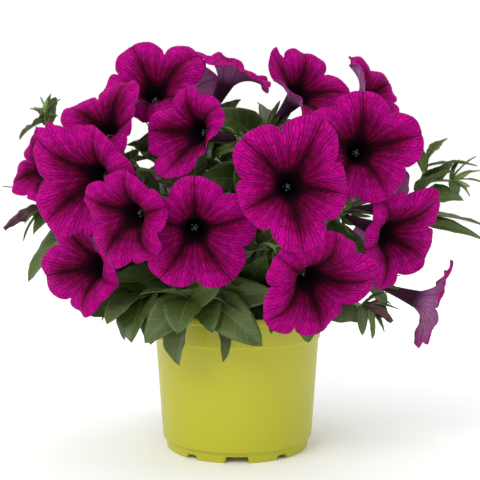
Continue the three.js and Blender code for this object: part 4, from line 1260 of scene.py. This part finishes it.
def build_soil(materials):
    """Soil with a lumpy top that rises a little to the middle, closed below it."""
    inner = RIM_RADIUS - BAND_STEP - WALL - SEAT_GAP - 0.6
    dome = SOIL_DOME + 0.6
    turn = angles_round(SOIL_SIDES)
    radius, angle = np.meshgrid(np.linspace(0.004, 1, SOIL_RINGS) ** 0.85 * inner, turn, indexing="ij")
    x, y = radius * np.cos(angle), radius * np.sin(angle)
    lumps = (np.sin(0.9 * x + 1.3 * np.sin(0.7 * y)) * np.sin(1.1 * y + 1.1 * np.sin(0.8 * x))
             + 0.6 * np.sin(2.3 * x + 2 * np.sin(1.9 * y)) * np.sin(2.1 * y + 0.5))
    rise = SOIL_TOP - 1 + dome * (1 - (radius / inner) ** 2)
    top = ring_points(radius, angle, rise + 0.9 * lumps * smooth(0, 0.1, 1.02 - radius / inner))
    waist = ring_points(inner, turn, 70.0)
    low = ring_points(FOOT_RADIUS - 1.4, turn, FLOOR_LIFT + WALL + SEAT_GAP)
    form = Form()
    form.add_rings(np.concatenate([top, [waist, low]]), 0)
    random = make_random(7)
    for _ in range(SOIL_CRUMBS):
        spot_radius = inner * 0.96 * math.sqrt(random())
        spot_angle = 2 * math.pi * random()
        size = CRUMB_SIZES[0] + CRUMB_SIZES[1] * random() ** 2
        height = SOIL_TOP - 0.6 + dome * (1 - (spot_radius / inner) ** 2)
        axes = [turned(np.array(axis, float), UP, spot_angle) for axis in ((1, 0, 0), (0, 1, 0))] + [UP]
        centre = ring_points(spot_radius, spot_angle, height)
        add_blob(form, centre, axes, (size, size * 0.7, size * 0.6), 0, rings=4, sides=6)
    ride(form.build("loose_soil", materials), "soil", "soil")


# Studio
def build_studio():
    corners = [[(x, y, 0) for x in (-FLOOR_REACH, FLOOR_REACH)] for y in (-FLOOR_REACH, FLOOR_REACH)]
    form = Form()
    form.add_grid(np.array(corners, float), *np.meshgrid([0.0, 1.0], [0.0, 1.0]), 0, flip=True)
    form.build("studio_floor", [floor_material()], shade=False)
    world = bpy.data.worlds.new("studio")
    bpy.context.scene.world = world
    world.use_nodes = True
    background = world.node_tree.nodes["Background"]
    background.inputs["Color"].default_value = (1, 1, 1, 1)
    background.inputs["Strength"].default_value = 1.0
    for name, place, strength, spread in LIGHTS:
        data = bpy.data.lights.new(name, "SUN")
        data.energy = strength
        data.angle = math.radians(spread)
        light = bpy.data.objects.new(name, data)
        light.location = place
        aim = np.array(LIGHT_TARGET) - place
        tilt = math.atan2(math.hypot(aim[0], aim[1]), -aim[2])
        light.rotation_euler = (tilt, 0, math.atan2(-aim[0], aim[1]))
        bpy.context.scene.collection.objects.link(light)
    bpy.context.scene.view_settings.view_transform = "Standard"


def build_camera():
    data = bpy.data.cameras.new("camera")
    data.lens = CAMERA_LENS
    data.sensor_width = 36
    camera = bpy.data.objects.new("camera", data)
    camera.location = CAMERA_AT
    camera.rotation_euler = (math.radians(90 - CAMERA_DROP), 0, 0)
    bpy.context.scene.collection.objects.link(camera)
    bpy.context.scene.camera = camera


build_camera()
build_studio()
build_pot([plastic_material(), inside_material()])
build_soil([soil_material()])

bloom_materials = [petal_front_material(), petal_back_material(), anther_material()]
for number, bloom in enumerate(BLOOMS):
    build_bloom(number, bloom, bloom_materials)
    take_petals(bloom, [0, 0.2, 0.4, 0.6, 0.8, 1], 12)
    take_tube(bloom)

# The curves of all stems and shoots, which take up room before any leaf grows
all_curves = {stem["name"]: stem_curves(stem) for stem in BLOOM_STEMS}
all_curves.update({shoot["name"]: [shoot["path"]] for shoot in SHOOTS})
for owner, curves in all_curves.items():
    for curve in curves:
        take(owner, bezier(curve, np.linspace(0, 1, 25)), 1)

green_materials = [stem_material(), leaf_material(), leaf_back_material(), wilted_material()]
for shoot in SHOOTS:
    build_leafy(shoot["name"], [shoot["path"]], SHOOT_END_RADIUS, shoot_leaves(shoot), green_materials)
for number, stem in enumerate(BLOOM_STEMS):
    owner = stem["name"]
    leaves = grow_leaves(owner, all_curves[owner], stem["leaves"], make_random(101 + number))
    build_leafy(owner, all_curves[owner], STEM_END_RADIUS, leaves, green_materials, stem["ends"])

# Leaves and twigs of the scene alone
for bloom in BLOOMS:
    take_petals(bloom, np.linspace(0, 1, 12), 6)
more_leaves = {name: [] for name in all_curves}
random = make_random(11)
for owner, number, leaves in EXTRA_LEAVES:
    for on, tip, width, arch in leaves:
        more_leaves[owner] += place_leaf(owner, all_curves[owner][number], on, tip, width, arch, random)
for twig in TWIGS:
    build_twig(twig, all_curves[twig["shoot"]][0], green_materials)
for number, stem in enumerate(BLOOM_STEMS):
    owner = stem["name"]
    more_leaves[owner] += fill_leaves(owner, all_curves[owner], make_random(501 + number))
for owner, leaves in more_leaves.items():
    if leaves:
        build_more_leaves(owner, leaves, green_materials)
